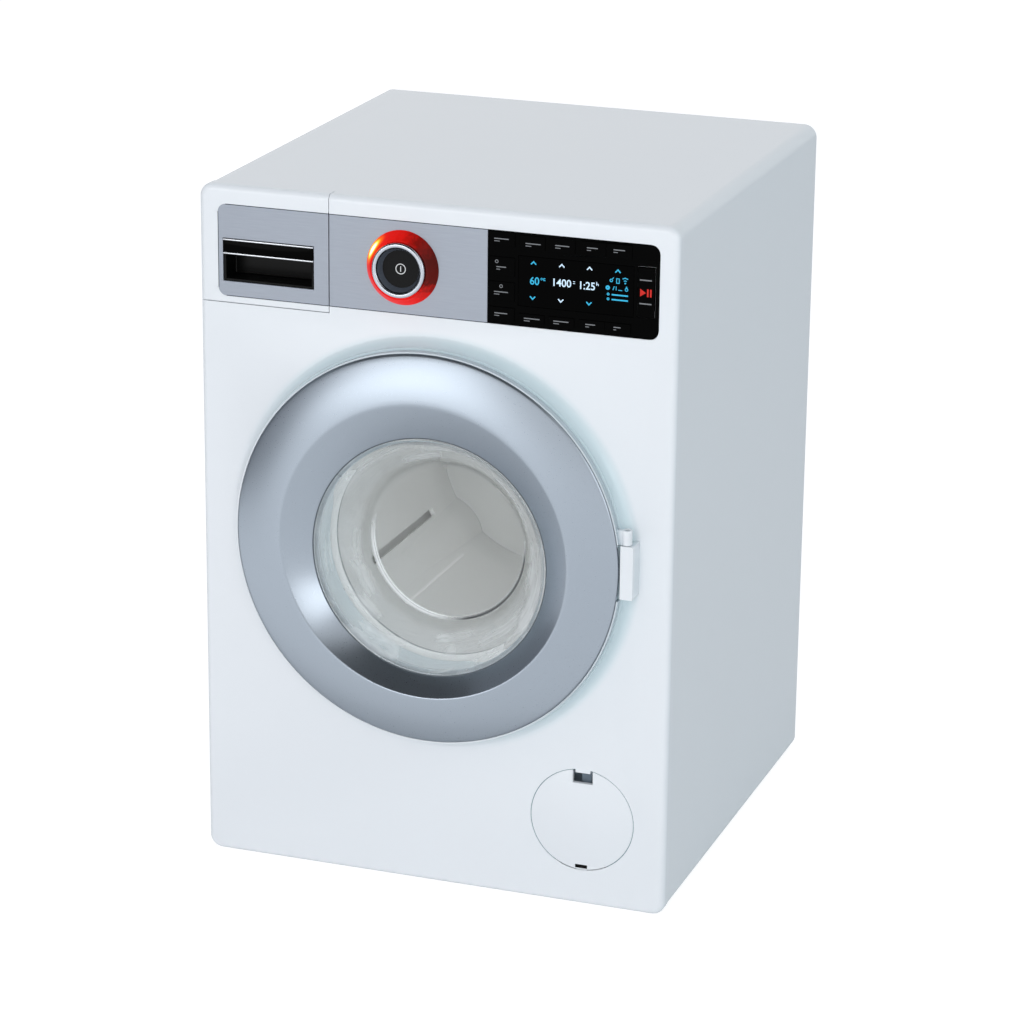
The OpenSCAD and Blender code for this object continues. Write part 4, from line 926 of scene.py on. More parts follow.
def ring_surface(name: str, profile: np.ndarray, centre: tuple, steps: int = 160) -> Piece:
    """Carries a closed profile round a centre.

    A profile row (r, d, drop) at angle a gives the point
    (x + r cos a, z - drop + r sin a, d), so stations with another drop lie
    on circles about a lower centre, which makes an oblique bevel.

    Args:
        name: the piece's name.
        profile: rows of radius, depth and, if any, drop, in millimetres.
        centre: the centre's x and z.
        steps: points round the circle.

    Returns:
        The new object.
    """
    a = np.linspace(0, 2 * math.pi, steps, endpoint=False)[None, :]
    r, d, *drop = np.asarray(profile).T[:, :, None]
    lower = drop[0] if drop else 0.0
    points = FRONT.metres(centre[0] + r * np.cos(a), centre[1] - lower + r * np.sin(a), d)
    return mesh_object(name, points, grid_faces(len(profile), steps, True))


def stacked(name: str, outlines: list[np.ndarray], depths: np.ndarray, crease: float) -> Piece:
    """Closed outlines of equal length at several depths, joined by bands and capped.

    Args:
        name: the piece's name.
        outlines: rows of x and z of each outline.
        depths: the depth of each.
        crease: angle in degrees above which an edge stays sharp.

    Returns:
        The new object.
    """
    rows, n = len(outlines), len(outlines[0])
    flat = np.vstack(outlines)
    points = FRONT.metres(flat[:, 0], flat[:, 1], np.repeat(depths, n))
    caps = [list(range(n)), list(range((rows - 1) * n, rows * n))]
    return mesh_object(name, points, grid_faces(rows, n, False) + caps, crease)


def plate_surface(name: str, outline: np.ndarray, d0: float, d1: float) -> Piece:
    """A flat plate: one outline of x and z rows at the depths d0 and d1."""
    return stacked(name, [outline, outline], [d0, d1], 35.0)


def rounded_outline(x0: float, z0: float, x1: float, z1: float, r: float, steps: int = 6) -> np.ndarray:
    """Outline of a rectangle with round corners.

    Each corner is a quarter circle about (x, z) inset by r: the angle runs
    over 90 degrees in equal steps.

    Args:
        x0: left side.
        z0: lower side.
        x1: right side.
        z1: upper side.
        r: corner radius.
        steps: points on each corner.

    Returns:
        Rows of x and z.
    """
    turns = np.linspace(0, 90, steps)
    centres = [(x1 - r, z1 - r), (x0 + r, z1 - r), (x0 + r, z0 + r), (x1 - r, z0 + r)]
    return np.vstack([fan(turns + 90 * i, r) + centre for i, centre in enumerate(centres)])


def block(name: str, low: tuple, high: tuple, r: float) -> Piece:
    """A bar with rounded edges, as stacked rounded outlines.

    The outline at height s over the edge's radius r is inset by
    r (1 - sqrt(1 - (1 - s)^2)), a quarter circle at both ends.

    Args:
        name: the piece's name.
        low: lowest x, z and d.
        high: highest x, z and d.
        r: radius of the edges.

    Returns:
        The new object.
    """
    s = np.linspace(0, 1, 5)
    inset = r * (1 - np.sqrt(np.maximum(0, 1 - (1 - s) ** 2)))
    rings = [
        rounded_outline(low[0] + i, low[1] + i, high[0] - i, high[1] - i, max(0.02, r - i * 0.5))
        for i in (*inset, *inset[::-1])
    ]
    return stacked(name, rings, np.concatenate([low[2] + s * r, high[2] - s[::-1] * r]), 50.0)


def filled(curve: bpy.types.Curve) -> tuple[np.ndarray, list[list[int]]]:
    """Meshes the fill of a flat curve or text.

    Args:
        curve: the curve, still outside the scene.

    Returns:
        Its points and faces.
    """
    shape = placed(curve.name, curve)
    mesh = bpy.data.meshes.new_from_object(shape)
    bpy.data.objects.remove(shape)
    flat = np.empty(len(mesh.vertices) * 3)
    mesh.vertices.foreach_get("co", flat)
    return flat.reshape(-1, 3), [list(face.vertices) for face in mesh.polygons]


def cut_plate(name: str, outlines: list[np.ndarray], d0: float, d1: float, edge: float) -> Piece:
    """A flat plate with holes and small chamfered edges.

    The first outline is the plate's side and the others are its holes; the
    fill between them comes from a flat curve, made into a mesh.

    Args:
        name: the piece's name.
        outlines: rows of x and z of each outline, in millimetres.
        d0: depth of the back.
        d1: depth of the face.
        edge: width of the chamfers.

    Returns:
        The new object.
    """
    curve = bpy.data.curves.new(name + "_curve", "CURVE")
    curve.dimensions, curve.fill_mode = "2D", "BOTH"
    curve.extrude, curve.bevel_depth, curve.offset = (d1 - d0) / 2 - edge, edge, -edge
    curve.bevel_resolution = 1
    for outline in outlines:
        spline = curve.splines.new("POLY")
        spline.points.add(len(outline) - 1)
        rows = np.column_stack([outline, np.tile((0.0, 1.0), (len(outline), 1))])
        spline.points.foreach_set("co", rows.ravel())
        spline.use_cyclic_u = True
    flat, faces = filled(curve)
    points = FRONT.metres(flat[:, 0], flat[:, 1], flat[:, 2] + (d0 + d1) / 2)
    return mesh_object(name, points, faces, 30.0)


def join(name: str, parts: list[Piece]) -> Piece:
    """Joins parts into one object.

    Args:
        name: the new object's name.
        parts: the objects to join, which go.

    Returns:
        The joined object.
    """
    work = bmesh.new()
    for part in parts:
        work.from_mesh(part.data)
        bpy.data.objects.remove(part)
    mesh = bpy.data.meshes.new(name)
    work.to_mesh(mesh)
    work.free()
    return placed(name, mesh)


def dress(piece: Piece, finish: Finish, body: str, slot: str | None, *nodes: str) -> None:
    """Gives a piece its finish and the CAD body that it rides on.

    Args:
        piece: the object.
        finish: what it is made of.
        body: the CAD body's name.
        slot: the record's material slot, or None for a sign; not used.
        nodes: the CAD nodes that it stands for.
    """
    piece.data.materials.clear()
    piece.data.materials.append(finish.material())
    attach(piece, body)
    if nodes:
        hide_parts(*nodes)
    log.info("%s: %s, %d faces", piece.name, finish.name, len(piece.data.polygons))


def moulded(node: str, edge_mm: float = 0.0, finish: Finish | None = None) -> None:
    """A welded copy of a CAD node, with smooth curves and softened edges.

    Args:
        node: the CAD node's name.
        edge_mm: width of the softened edges, or 0 for none.
        finish: what it is made of, or None for its slot's finish.
    """
    source = frame["nodes"][node]
    mesh = source.data.copy()
    mesh.name = node + "_skin"
    tidy(mesh, CREASE, FLAT)
    piece = placed(node + "_skin", mesh)
    if edge_mm > 0:
        soft = piece.modifiers.new("softened edges", "BEVEL")
        soft.width, soft.segments, soft.limit_method = edge_mm * MM, 2, "ANGLE"
        soft.angle_limit, soft.use_clamp_overlap, soft.harden_normals = math.radians(CREASE), True, False
    slot = SLOT_OF[node]
    dress(piece, finish or SLOT_FINISH[slot], source["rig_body"], slot, node)


# ------------------------------------------------------------------ the toy


@dataclass
class Housing:
    """The white case: front moulding, shell, back cover and battery hatch."""

    edge_mm: float = 0.35
    margin: float = 0.9
    corner_r: float = 3.0
    gap: float = 0.12
    skin_d: tuple[float, float] = (-1.1, 0.015)
    line_foot: float = -0.8
    line_r: float = 0.04

    def build(self) -> None:
        """Softens the case's visible mouldings."""
        moulded("front_panel", self.edge_mm, PANEL)
        for node in ("shell", "battery_cover"):
            moulded(node, self.edge_mm)
        moulded("rear_cover", 0.2)
        self.inlay_edges()

    def inlay_edges(self) -> None:
        """White skins at the inlay's round corners and dark lines of painted shade along its sides."""
        low, split = FRONT.span("drawer_plate")
        fascia, _ = FRONT.span("fascia_plate")
        screen, high = FRONT.span("display_panel")
        left = low[0] + self.margin
        for name, z, up in (("upper", high[1], 1), ("lower", low[1], -1)):
            self.corner("display_corner_" + name, (high[0], z), (1, up), PANEL, "housing")
            self.corner("drawer_corner_" + name, (left, z), (-1, up), WHITE, "drawer", self.margin + 0.6)
            z0, z1 = sorted((z - self.gap * up, z + 0.2 * up))
            for start, x0, x1 in (("drawer", left + 2.9, split[0]), ("fascia", fascia[0], screen[0])):
                line = block(f"{start}_line_{name}", (x0, z0, self.line_foot), (x1, z1, 0.01), self.line_r)
                dress(line, OUTLINE_SHADE, "drawer" if start == "drawer" else "housing", "black_plastic")
        foot, top = low[1] + 2.85, high[1] - 2.85
        x0, x1 = low[0] - 0.7, left - self.gap
        edge = np.array([(x0, foot), (x1, foot), (x1, top), (x0, top)])
        dress(plate_surface("drawer_side_skin", edge, *self.skin_d), WHITE, "drawer", "white_body")
        start, end = (left - 0.2, foot, self.line_foot), (left + self.gap, top, 0.02)
        dress(block("drawer_line_side", start, end, self.line_r), OUTLINE_SHADE, "drawer", "black_plastic")

    def corner(
        self, name: str, at: tuple, way: tuple[int, int], finish: Finish, body: str, reach: float = 0.6
    ) -> None:
        """White skin between an inlay's round corner and its square recess.

        The inlay's corner is the quarter circle of radius r + gap about the
        point r inside the corner; the skin is what lies between it and the
        corner grown by reach.

        Args:
            name: the piece's name.
            at: the corner's x and z.
            way: 1 or -1 towards the right and up, out of the inlay.
            finish: what the skin is made of.
            body: the CAD body that it rides on.
            reach: how far the skin goes past the corner.
        """
        arc = fan(np.linspace(0, 90, 9), self.corner_r + self.gap) - self.corner_r
        side = self.gap - self.corner_r
        shape = np.vstack([arc, [(side, reach), (reach, reach), (reach, side)]])
        dress(plate_surface(name, shape * way + at, *self.skin_d), finish, body, "white_body")


@dataclass
class Drawer:
    """Drawer with its silver plate, black pocket and bar with bright lines."""

    line: float = 0.62

    def build(self) -> None:
        """Dresses the drawer's pieces."""
        moulded("detergent_drawer", 0.3)
        moulded("drawer_plate", 0.1)
        moulded("drawer_handle", 0.3)
        self.bar()
        moulded("drawer_sleeve")

    def bar(self) -> None:
        """The pocket's bar: a polished black strip between two bright lines."""
        (x0, z0, d0), (x1, z1, d1) = FRONT.span("handle_bar")
        strip = block("handle_bar_strip", (x0, z0 + self.line, d0), (x1, z1 - self.line, d1 - 0.3), 0.2)
        dress(strip, BLACK_GLOSS, "drawer", "black_gloss", "handle_bar")
        for name, z in (("upper", z1 - self.line), ("lower", z0)):
            line = block("handle_bar_line_" + name, (x0, z, d0), (x1, z + self.line, d1), 0.18)
            dress(line, TRIM, "drawer", "chrome_ring")


@dataclass
class Dial:
    """Selector: lit red collar, satin ring and dished power button."""

    collar_r: float = 13.85
    collar_top: float = 4.2
    bore: float = 10.4
    spigot: float = 13.3
    spigot_foot: float = -4.0
    lamp_r: float = 12.4
    lamp_angle: float = 149.0
    hub_r: float = 1.9
    web_r: float = 3.4
    ring_r: float = 10.1
    rim: float = 1.8
    ring_top: float = 5.2
    ring_foot: float = -1.5
    hub_foot: float = -9.5
    stem_r: float = 1.8
    button_r: float = 8.15
    face_r: float = 6.9
    dish: float = 2.4
    at: tuple[float, float] = field(init=False)

    def __post_init__(self) -> None:
        """Takes the dial's centre and the button's depths from the CAD model."""
        self.at = FRONT.middle("dial_ring")
        low, high = FRONT.span("power_button")
        self.stem, self.top = low[2], high[2]
        self.face = self.top - self.dish

    def build(self) -> None:
        """Builds the dial's pieces and its sign."""
        self.collar()
        self.ring()
        self.button()
        self.sign()

    def collar(self) -> None:
        """A cone with a soft top edge, on a spigot that reaches the lamps."""
        bore, spigot, low, top = self.bore, self.spigot, self.spigot_foot, self.collar_top
        foot = [(bore, low, 0.0), (spigot, low, 0.0), (spigot, 0.0, 0.0), (self.collar_r, 0.0, 0.25)]
        profile = rounded([*foot, (bore + 0.45, top, 0.4), (bore, top - 0.1, 0.15)])
        lamp = fan(np.array([self.lamp_angle]), self.lamp_r)[0] + self.at
        spots = [tuple(FRONT.metres(*spot).tolist()) for spot in ((*self.at, 0.0), (*lamp, 2.0))]
        collar = ring_surface("light_collar", profile, self.at)
        dress(collar, LitCollar("red styrene, lit", *spots), "housing", "red_light", "light_ring")

    def ring(self) -> None:
        """The turning ring: a round-topped rim, its web and its hub."""
        hub, web, outer, top = self.hub_r, self.web_r, self.ring_r, self.ring_top
        inner, foot, end = outer - self.rim, self.ring_foot, self.hub_foot
        corners = [(hub, end, 0.0), (web, end, 0.0), (web, foot, 0.0), (outer, foot, 0.1)]
        corners += [(outer, top, 0.8), (inner, top, 0.8), (inner, 0.0, 0.0), (hub, 0.0, 0.0)]
        ring = ring_surface("selector_ring", rounded(corners, 7), self.at)
        dress(ring, CHROME, "dial", "chrome_ring", "dial_ring")

    def button(self) -> None:
        """A black button whose wall slopes down to a flat face, with a painted grey sheen on the slope."""
        top, face, inner, r, body = self.top, self.face, self.face_r, self.button_r, "power_button"
        stem, edge, low = self.stem_r, r - 0.1, top - 3.1
        corners = [(0.0, self.stem, 0.0), (stem, self.stem, 0.0), (stem, low, 0.0), (r, low, 0.1)]
        corners += [(r, top, 0.05), (edge, top, 0.03), (inner, face, 0.1), (0.0, face, 0.0)]
        skin = ring_surface("power_button_skin", rounded(corners), self.at)
        dress(skin, BUTTON, body, "black_gloss", body)
        slope = [(inner + 0.03, face), (edge + 0.03, top - 0.02), (edge, top + 0.02), (inner, face + 0.06)]
        dress(ring_surface("power_button_slope", slope, self.at), SLOPE_SHEEN, body, "black_gloss")

    def sign(self) -> None:
        """White ring and bar printed on the button."""
        x, z = self.at
        low, high = self.face - 0.02, self.face + 0.05
        loop = [(1.66, low), (1.66, high), (1.95, high), (1.95, low)]
        circle = ring_surface("sign_circle", loop, self.at, 64)
        bar = block("sign_bar", (x - 0.15, z - 1.0, low), (x + 0.15, z + 1.0, high), 0.03)
        dress(join("power_sign", [circle, bar]), WHITE_SIGN_GLOW, "power_button", None)


# The screen's printed signs: for each mark its width, then the line's x and z
# pairs, or one x, z and radius, in front space
# A ring with a tail, a case and a fan; then a disc, two bars, a foot and a drop
STATUS = (
    *((0.28, (66.35, 239.0, 0.6)), (0.28, (66.7, 239.6), (67.3, 240.1))),
    (0.26, (68.3, 238.2), (68.3, 239.8), (69.3, 239.8), (69.3, 238.2), (68.2, 238.2)),
    (0.32, (70.5, 239.9), (71.5, 240.3), (72.5, 239.9)),
    *((0.3, (71.0, 239.1), (71.5, 239.35), (72.0, 239.1)), (0.29, (71.5, 238.4, 0.3))),
    *((0.62, (65.1, 236.3, 0.8)), (0.26, (67.0, 235.6), (67.5, 237.0))),
    *((0.24, (68.2, 235.6), (68.2, 237.0)), (0.26, (69.0, 235.7), (70.4, 235.7))),
    *((0.25, (72.0, 236.1, 0.6)), (0.22, (71.7, 236.6), (72.0, 237.2), (72.3, 236.6))),
)
# A degree ring and its tick
WARM_UNIT = ((0.2, (40.6, 236.95, 0.42)), (0.24, (42.0, 237.2), (41.4, 237.2), (41.4, 236.5), (42.0, 236.5)))
# Two ticks after the speed and a small hook after the time
COLD_UNIT = (
    *((0.24, (52.3, 237.2), (53.0, 237.2)), (0.24, (52.3, 236.5), (53.0, 236.5))),
    *((0.26, (61.0, 237.9), (61.0, 236.6)), (0.22, (61.0, 237.2), (61.6, 237.1), (61.65, 236.5))),
)


class Way(Enum):
    """Which way a small arrow points."""

    UP = 1
    DOWN = -1


@dataclass
class Display:
    """Black display with raised keys, a dark screen and generic signs."""

    print_h: float = 0.06
    sink: float = 0.02

    def build(self) -> None:
        """Dresses the display and lights its signs."""
        edges = {"fascia_plate": 0.1, "display_panel": 0.16, "display_window": 0.08, "start_key": 0.2}
        for node, edge in edges.items():
            moulded(node, edge)
        self.screen, self.keys, self.start = (
            FRONT.span(node)[1][2] for node in ("display_window", "display_panel", "start_key")
        )
        for draw in (self.digits, self.chevrons, self.icons, self.key_prints, self.start_sign):
            draw()

    def mark(self, name: str, d: float, width: float, *spots: tuple) -> Piece:
        """A flat line of even width through spots, or a ring about one spot.

        Each side's point is P +- n width / (2 cos(half turn)), with n the mean
        of the neighbouring segments' normals, so corners are mitred. A ring's
        profile is the rectangle between its radius and width less.

        Args:
            name: the piece's name.
            d: depth of the surface that it is printed on.
            width: the line's width.
            spots: the line's x and z pairs, or one x, z and outer radius.

        Returns:
            The new object.
        """
        low, high = d - self.sink, d + self.print_h
        if len(spots) == 1:
            *centre, r = spots[0]
            return ring_surface(name, [(r - width, low), (r - width, high), (r, high), (r, low)], centre, 24)
        path = np.array(spots, float)
        step = np.diff(path, axis=0)
        step /= np.linalg.norm(step, axis=1)[:, None]
        normal = np.column_stack([-step[:, 1], step[:, 0]])
        mean = np.vstack([normal[:1], (normal[:-1] + normal[1:]) / 2, normal[-1:]])
        side = mean / np.sum(mean * mean, axis=1)[:, None] * width / 2
        return plate_surface(name, np.vstack([path + side, (path - side)[::-1]]), low, high)

    def marks(self, name: str, d: float, finish: Finish, *rows: tuple, body: str = "housing") -> None:
        """Prints several marks as one piece.

        Args:
            name: the piece's name.
            d: depth of the surface that they are printed on.
            finish: what they are printed with.
            rows: for each mark its width and its spots.
            body: the CAD body that they ride on.
        """
        parts = [self.mark(f"{name}_{i}", d, *row) for i, row in enumerate(rows)]
        dress(join(name, parts), finish, body, None)

    def digits(self) -> None:
        """Temperature, speed and time as flat text, each fitted to a box of the screen."""
        for name, text, left, foot, height, width, finish in (
            ("temperature", "60", 36.3, 234.6, 2.85, 3.4, CYAN),
            ("speed", "1400", 45.0, 234.9, 2.75, 6.6, ICE),
            ("time", "1:25", 54.9, 234.75, 2.85, 5.5, ICE),
        ):
            name = "digits_" + name
            curve = bpy.data.curves.new(name + "_curve", "FONT")
            curve.body, curve.offset, curve.extrude = text, 0.012, 0.05
            flat, faces = filled(curve)
            unit = (flat - flat.min(0)) / np.ptp(flat, axis=0)
            size = np.array([width, height, self.print_h + self.sink])
            x, z, d = (unit * size + (left, foot, self.screen - self.sink)).T
            dress(mesh_object(name, FRONT.metres(x, z, d), faces, 30.0), finish, "housing", None)

    def chevrons(self) -> None:
        """Small arrows above and below the digits."""
        for name, way, x, z, finish in (
            ("temperature", Way.UP, 37.55, 242.45, CYAN),
            ("speed", Way.UP, 48.05, 242.45, ICE),
            ("time", Way.UP, 58.3, 242.45, ICE),
            ("icons", Way.UP, 68.75, 242.5, CYAN),
            ("temperature", Way.DOWN, 37.3, 229.8, CYAN),
            ("speed", Way.DOWN, 47.8, 229.8, ICE),
            ("time", Way.DOWN, 58.25, 229.85, CYAN),
        ):
            tip = 0.5 * way.value
            path = [(x - 0.95, z - tip), (x, z + tip), (x + 0.95, z - tip)]
            arrow = self.mark(f"chevron_{name}_{way.name.lower()}", self.screen, 0.42, *path)
            dress(arrow, finish, "housing", None)

    def icons(self) -> None:
        """Generic status marks right of the digits, and small ticks after them."""
        bars = [(0.5, (66.6, z), (72.6, z)) for z in (233.9, 232.15)]
        dots = [(0.3, (65.3, z, 0.5)) for z in (234.0, 232.25)]
        for name, finish, rows in (
            ("status_marks", CYAN, STATUS),
            ("level_bars", CYAN, bars + dots),
            ("unit_warm", CYAN, WARM_UNIT),
            ("unit_cold", ICE, COLD_UNIT),
        ):
            self.marks(name, self.screen, finish, *rows)

    def key_prints(self) -> None:
        """Thin plain dashes on each key, in place of its words."""
        keys = [(25.6, 250.2, 5.4), (25.6, 240.0, 3.6), (25.6, 230.9, 5.2), (25.6, 223.1, 4.8)]
        keys += [(37.4, 249.4, 5.6), (48.2, 249.7, 5.2), (59.3, 250.0, 4.0), (69.2, 250.2, 4.2)]
        keys += [(37.2, 222.2, 5.8), (48.1, 222.3, 5.6), (59.0, 222.3, 3.6), (68.9, 222.3, 2.6)]
        rows = []
        for x, z, w in keys:
            left = x - w / 2
            rows += [(0.34, (left, z), (x + w / 2, z)), (0.26, (left, z - 0.9), (x - w / 8, z - 0.9))]
        rows += [(0.24, (23.9, 241.9, 0.65)), (0.24, (25.6, 233.0, 0.65))]
        self.marks("key_dashes", self.keys, INK_GLOW, *rows)

    def start_sign(self) -> None:
        """Red play and pause sign between two short dashes."""
        low, high = 234.45, 237.25
        outline = np.array([(77.2, low), (79.3, (low + high) / 2), (77.2, high)])
        arrow = plate_surface("play_arrow", outline, self.start - self.sink, self.start + self.print_h)
        bars = [self.mark("pause", self.start, 0.6, (x, low), (x, high)) for x in (80.0, 81.1)]
        dress(join("start_sign", [arrow, *bars]), RED_SIGN, "start_key", None)
        dashes = [(0.42, (77.0, z), (81.4, z)) for z in (240.4, 231.9)]
        self.marks("start_dashes", self.start, INK_GLOW, *dashes, body="start_key")


@dataclass
class Door:
    """Door: silver ring with an oblique bevel, white frame and clear bowl."""

    ring_r: float = 73.6
    ring_out: float = 8.5
    ridge_r: float = 55.5
    ridge_out: float = 11.8
    glass_r: float = 45.5
    glass_out: float = 4.7
    drop: float = 4.0
    back: float = 7.3
    crown: float = 0.45
    bowl_d: float = 18.0
    bowl_r: float = 31.0
    bowl_t: float = 1.8
    seat: float = 1.7
    flange: float = 1.9
    at: tuple[float, float] = field(init=False)

    def __post_init__(self) -> None:
        """Takes the ring's centre from its CAD node, and the bowl's below it."""
        self.at = FRONT.middle("door_ring")
        self.bowl_at = (self.at[0], self.at[1] - self.drop)

    def build(self) -> None:
        """Builds the door's pieces."""
        self.ring()
        self.bowl()
        self.gap()
        # The frame's rim under the ring carries painted shade
        moulded("door_frame", 0.25, FRAME)

    def ring(self) -> None:
        """Silver ring: crowned face, ridge, oblique bevel and thin inner lip.

        The crown follows d = chord + crown (1 - (2s - 1)^2) between edge and
        ridge, with s the share of the way.
        """
        outer, out, ridge, top = self.ring_r, self.ring_out, self.ridge_r, self.ridge_out
        glass, lip, drop, back = self.glass_r, self.glass_out, self.drop, self.back
        s = np.linspace(0, 1, 9)[1:-1]
        bulge = self.crown * (1 - (2 * s - 1) ** 2)
        face = np.column_stack([outer + (ridge - outer) * s, out + (top - out) * s + bulge, 0 * s, 0 * s])
        corners = [(outer - 1.4, back, 0.0, 0.0), (outer, back, 0.0, 0.1), (outer, out, 0.0, 0.9), *face]
        corners += [(ridge, top, 0.0, 0.7), (glass, lip, drop, 0.12), (glass, lip - 0.3, drop, 0.0)]
        corners += [(glass + 0.6, lip - 0.3, drop, 0.0), (glass + 2.0, lip - 1.0, drop, 0.0)]
        corners += [(glass + 6.4, back, drop, 0.0), (ridge + 2.5, back, 0.0, 0.0)]
        corners += [(ridge + 2.5, top - 2.2, 0.0, 0.0), (outer - 1.4, out - 0.6, 0.0, 0.0)]
        skin = ring_surface("door_ring_skin", rounded(corners), self.at, 256)
        dress(skin, RING, "door", "silver_ring", "door_ring")

    def gap(self) -> None:
        """A dark ring of painted shade in the gap between the ring's lip and the bowl."""
        r, d = self.glass_r, self.glass_out
        profile = [(r - 0.36, d - 0.6), (r - 0.36, d - 0.16), (r + 0.05, d - 0.06), (r + 0.05, d - 0.6)]
        dress(ring_surface("bowl_gap_shade", profile, self.bowl_at, 192), GAP_SHADE, "door", "black_plastic")

    def bowl(self) -> None:
        """Clear bowl: a flange and a cone that turns into a flat back.

        The cone's radius is r1 + slope (d - d1), with r1 the back's radius and
        d1 its depth. The inner wall is the same line, set in by the wall's
        thickness t, so it is t sqrt(1 + slope^2) smaller, and its mouth widens
        to a thin lip at the face.
        """
        seat, top, glass = self.seat, self.glass_out - 0.1, self.glass_r
        flange = seat + self.flange
        back, r, wall, mouth = -self.bowl_d, self.bowl_r, self.bowl_t, self.glass_r - 1.3
        slope = (mouth - r) / (seat - back)
        step = wall * math.sqrt(1 + slope * slope)
        corners = [(0.0, back, 0.0), (r, back, 1.8), (mouth, seat, 0.0), (glass + 2.4, seat, 0.2)]
        corners += [(glass + 2.4, flange, 0.3), (glass - 0.4, flange, 0.0), (glass - 0.4, top, 0.2)]
        corners += [(glass - 1.0, top, 0.2), (mouth - step, seat, 1.2)]
        corners += [(r + slope * wall - step, back + wall, 1.6), (0.0, back + wall, 0.0)]
        bowl = ring_surface("bowl_skin", rounded(corners, 9), self.bowl_at, 192)
        dress(bowl, CLEAR, "door", "clear_bowl", "door_window")


@dataclass
class DrumUnit:
    """Drum with its lifters and slots, and the drive behind it."""

    wall_r: float = 45.0
    line_at: float = -126.2
    line_w: float = 0.7
    line_h: float = 0.4
    line_d: tuple[float, float] = (-104.0, -42.0)

    def build(self) -> None:
        """Smooths the drum and the tub and draws a fine line with a painted glow along each lifter's foot.

        A line's four long edges lie at radius r and angle a round the axis,
        with r the wall's radius or line_h less, and a the line's angle plus
        or minus half its width over r.
        """
        moulded("drum", 0.4)
        moulded("tub")
        half = math.degrees(self.line_w / 2 / self.wall_r)
        r = self.wall_r + np.array([0.1, 0.1, -self.line_h, -self.line_h])
        for i in range(3):
            degrees = self.line_at + 120 * i + np.array([-half, half, half, -half])
            line = plate_surface(f"lifter_line_{i}", fan(degrees, r) + FRONT.middle("drum"), *self.line_d)
            dress(line, RIDGE, "drum", "drum_plastic")


@dataclass
class FilterFlap:
    """Round flap with its finger slot, and the cap behind it."""

    r: float = 19.8
    slot_w: float = 7.7
    slot_foot: float = 14.3
    bar_w: float = 2.4
    foot_w: float = 9.2
    under: tuple[float, float] = (-1.2, -0.35)

    def build(self) -> None:
        """Builds the flap's skin and softens the cap."""
        self.x, _ = FRONT.middle("filter_flap")
        self.z = FRONT.span("filter_flap")[1][1] - self.r
        self.cover()
        self.surround()
        moulded("filter_cap", 0.3)

    def cover(self) -> None:
        """A disc open at the finger slot, with a short slot over its hinge bar and a black block of painted
        shade behind that slot.
        """
        x, z, side = self.x, self.z, self.slot_w / 2
        half = math.degrees(math.asin(side / self.r))
        rim = fan(np.linspace(90 + half, 450 - half, 181), self.r - 0.1) + (x, z)
        notch = [(x + side, z + self.slot_foot), (x - side, z + self.slot_foot)]
        low, high = z - self.r + 0.45, z - self.r + 1.9
        hole = rounded_outline(x - self.bar_w, low, x + self.bar_w - 0.1, high, 0.15, 3)
        disc = cut_plate("flap_cover", [np.vstack([rim, notch]), hole], -2.0, 0.0, 0.12)
        dress(disc, WHITE, "flap", "white_body", "filter_flap")
        # Painted shade: a black block behind the short slot, so that it looks deep
        wide, (back, face) = self.bar_w + 0.35, self.under
        bar = block("flap_slot_shade", (x - wide, low - 0.15, back), (x + wide, high + 0.15, face), 0.1)
        dress(bar, BLACK, "flap", "black_plastic")

    def surround(self) -> None:
        """The seam's painted shade, the catch over the finger slot and the skin below the hinge."""
        x, z, r = self.x, self.z, self.r
        ray = fan(np.linspace(-60, 240, 151))
        seam = np.vstack([ray * (r + 0.2), ray[::-1] * (r - 0.08)]) + (x, z)
        dress(plate_surface("flap_seam_shade", seam, *self.under), SEAM_SHADE, "housing", "seal")
        top = z + r
        catch = block("flap_catch", (x - 2.9, top - 1.45, -1.6), (x + 2.9, top + 0.3, -0.12), 0.2)
        dress(catch, WHITE, "housing", "white_body")
        across = np.linspace(-self.foot_w, self.foot_w, 33)
        arc = np.column_stack([across, -np.sqrt((r + 0.22) ** 2 - across**2)])
        foot = np.vstack([arc, [(self.foot_w, -r - 1.1), (-self.foot_w, -r - 1.1)]]) + (x, z)
        dress(plate_surface("flap_foot_skin", foot, -0.02, 0.012), PANEL, "housing", "white_body")


@dataclass
class HiddenWorks:
    """Nodes that stay as the CAD model has them, each in its own finish."""

    def build(self) -> None:
        """Puts each shown node's finish on it."""
        for name, node in frame["nodes"].items():
            if node.hide_render:
                continue
            node.data.materials.clear()
            node.data.materials.append(SLOT_FINISH[SLOT_OF[name]].material())
            log.info("%s: %s, as the CAD model has it", name, SLOT_OF[name])


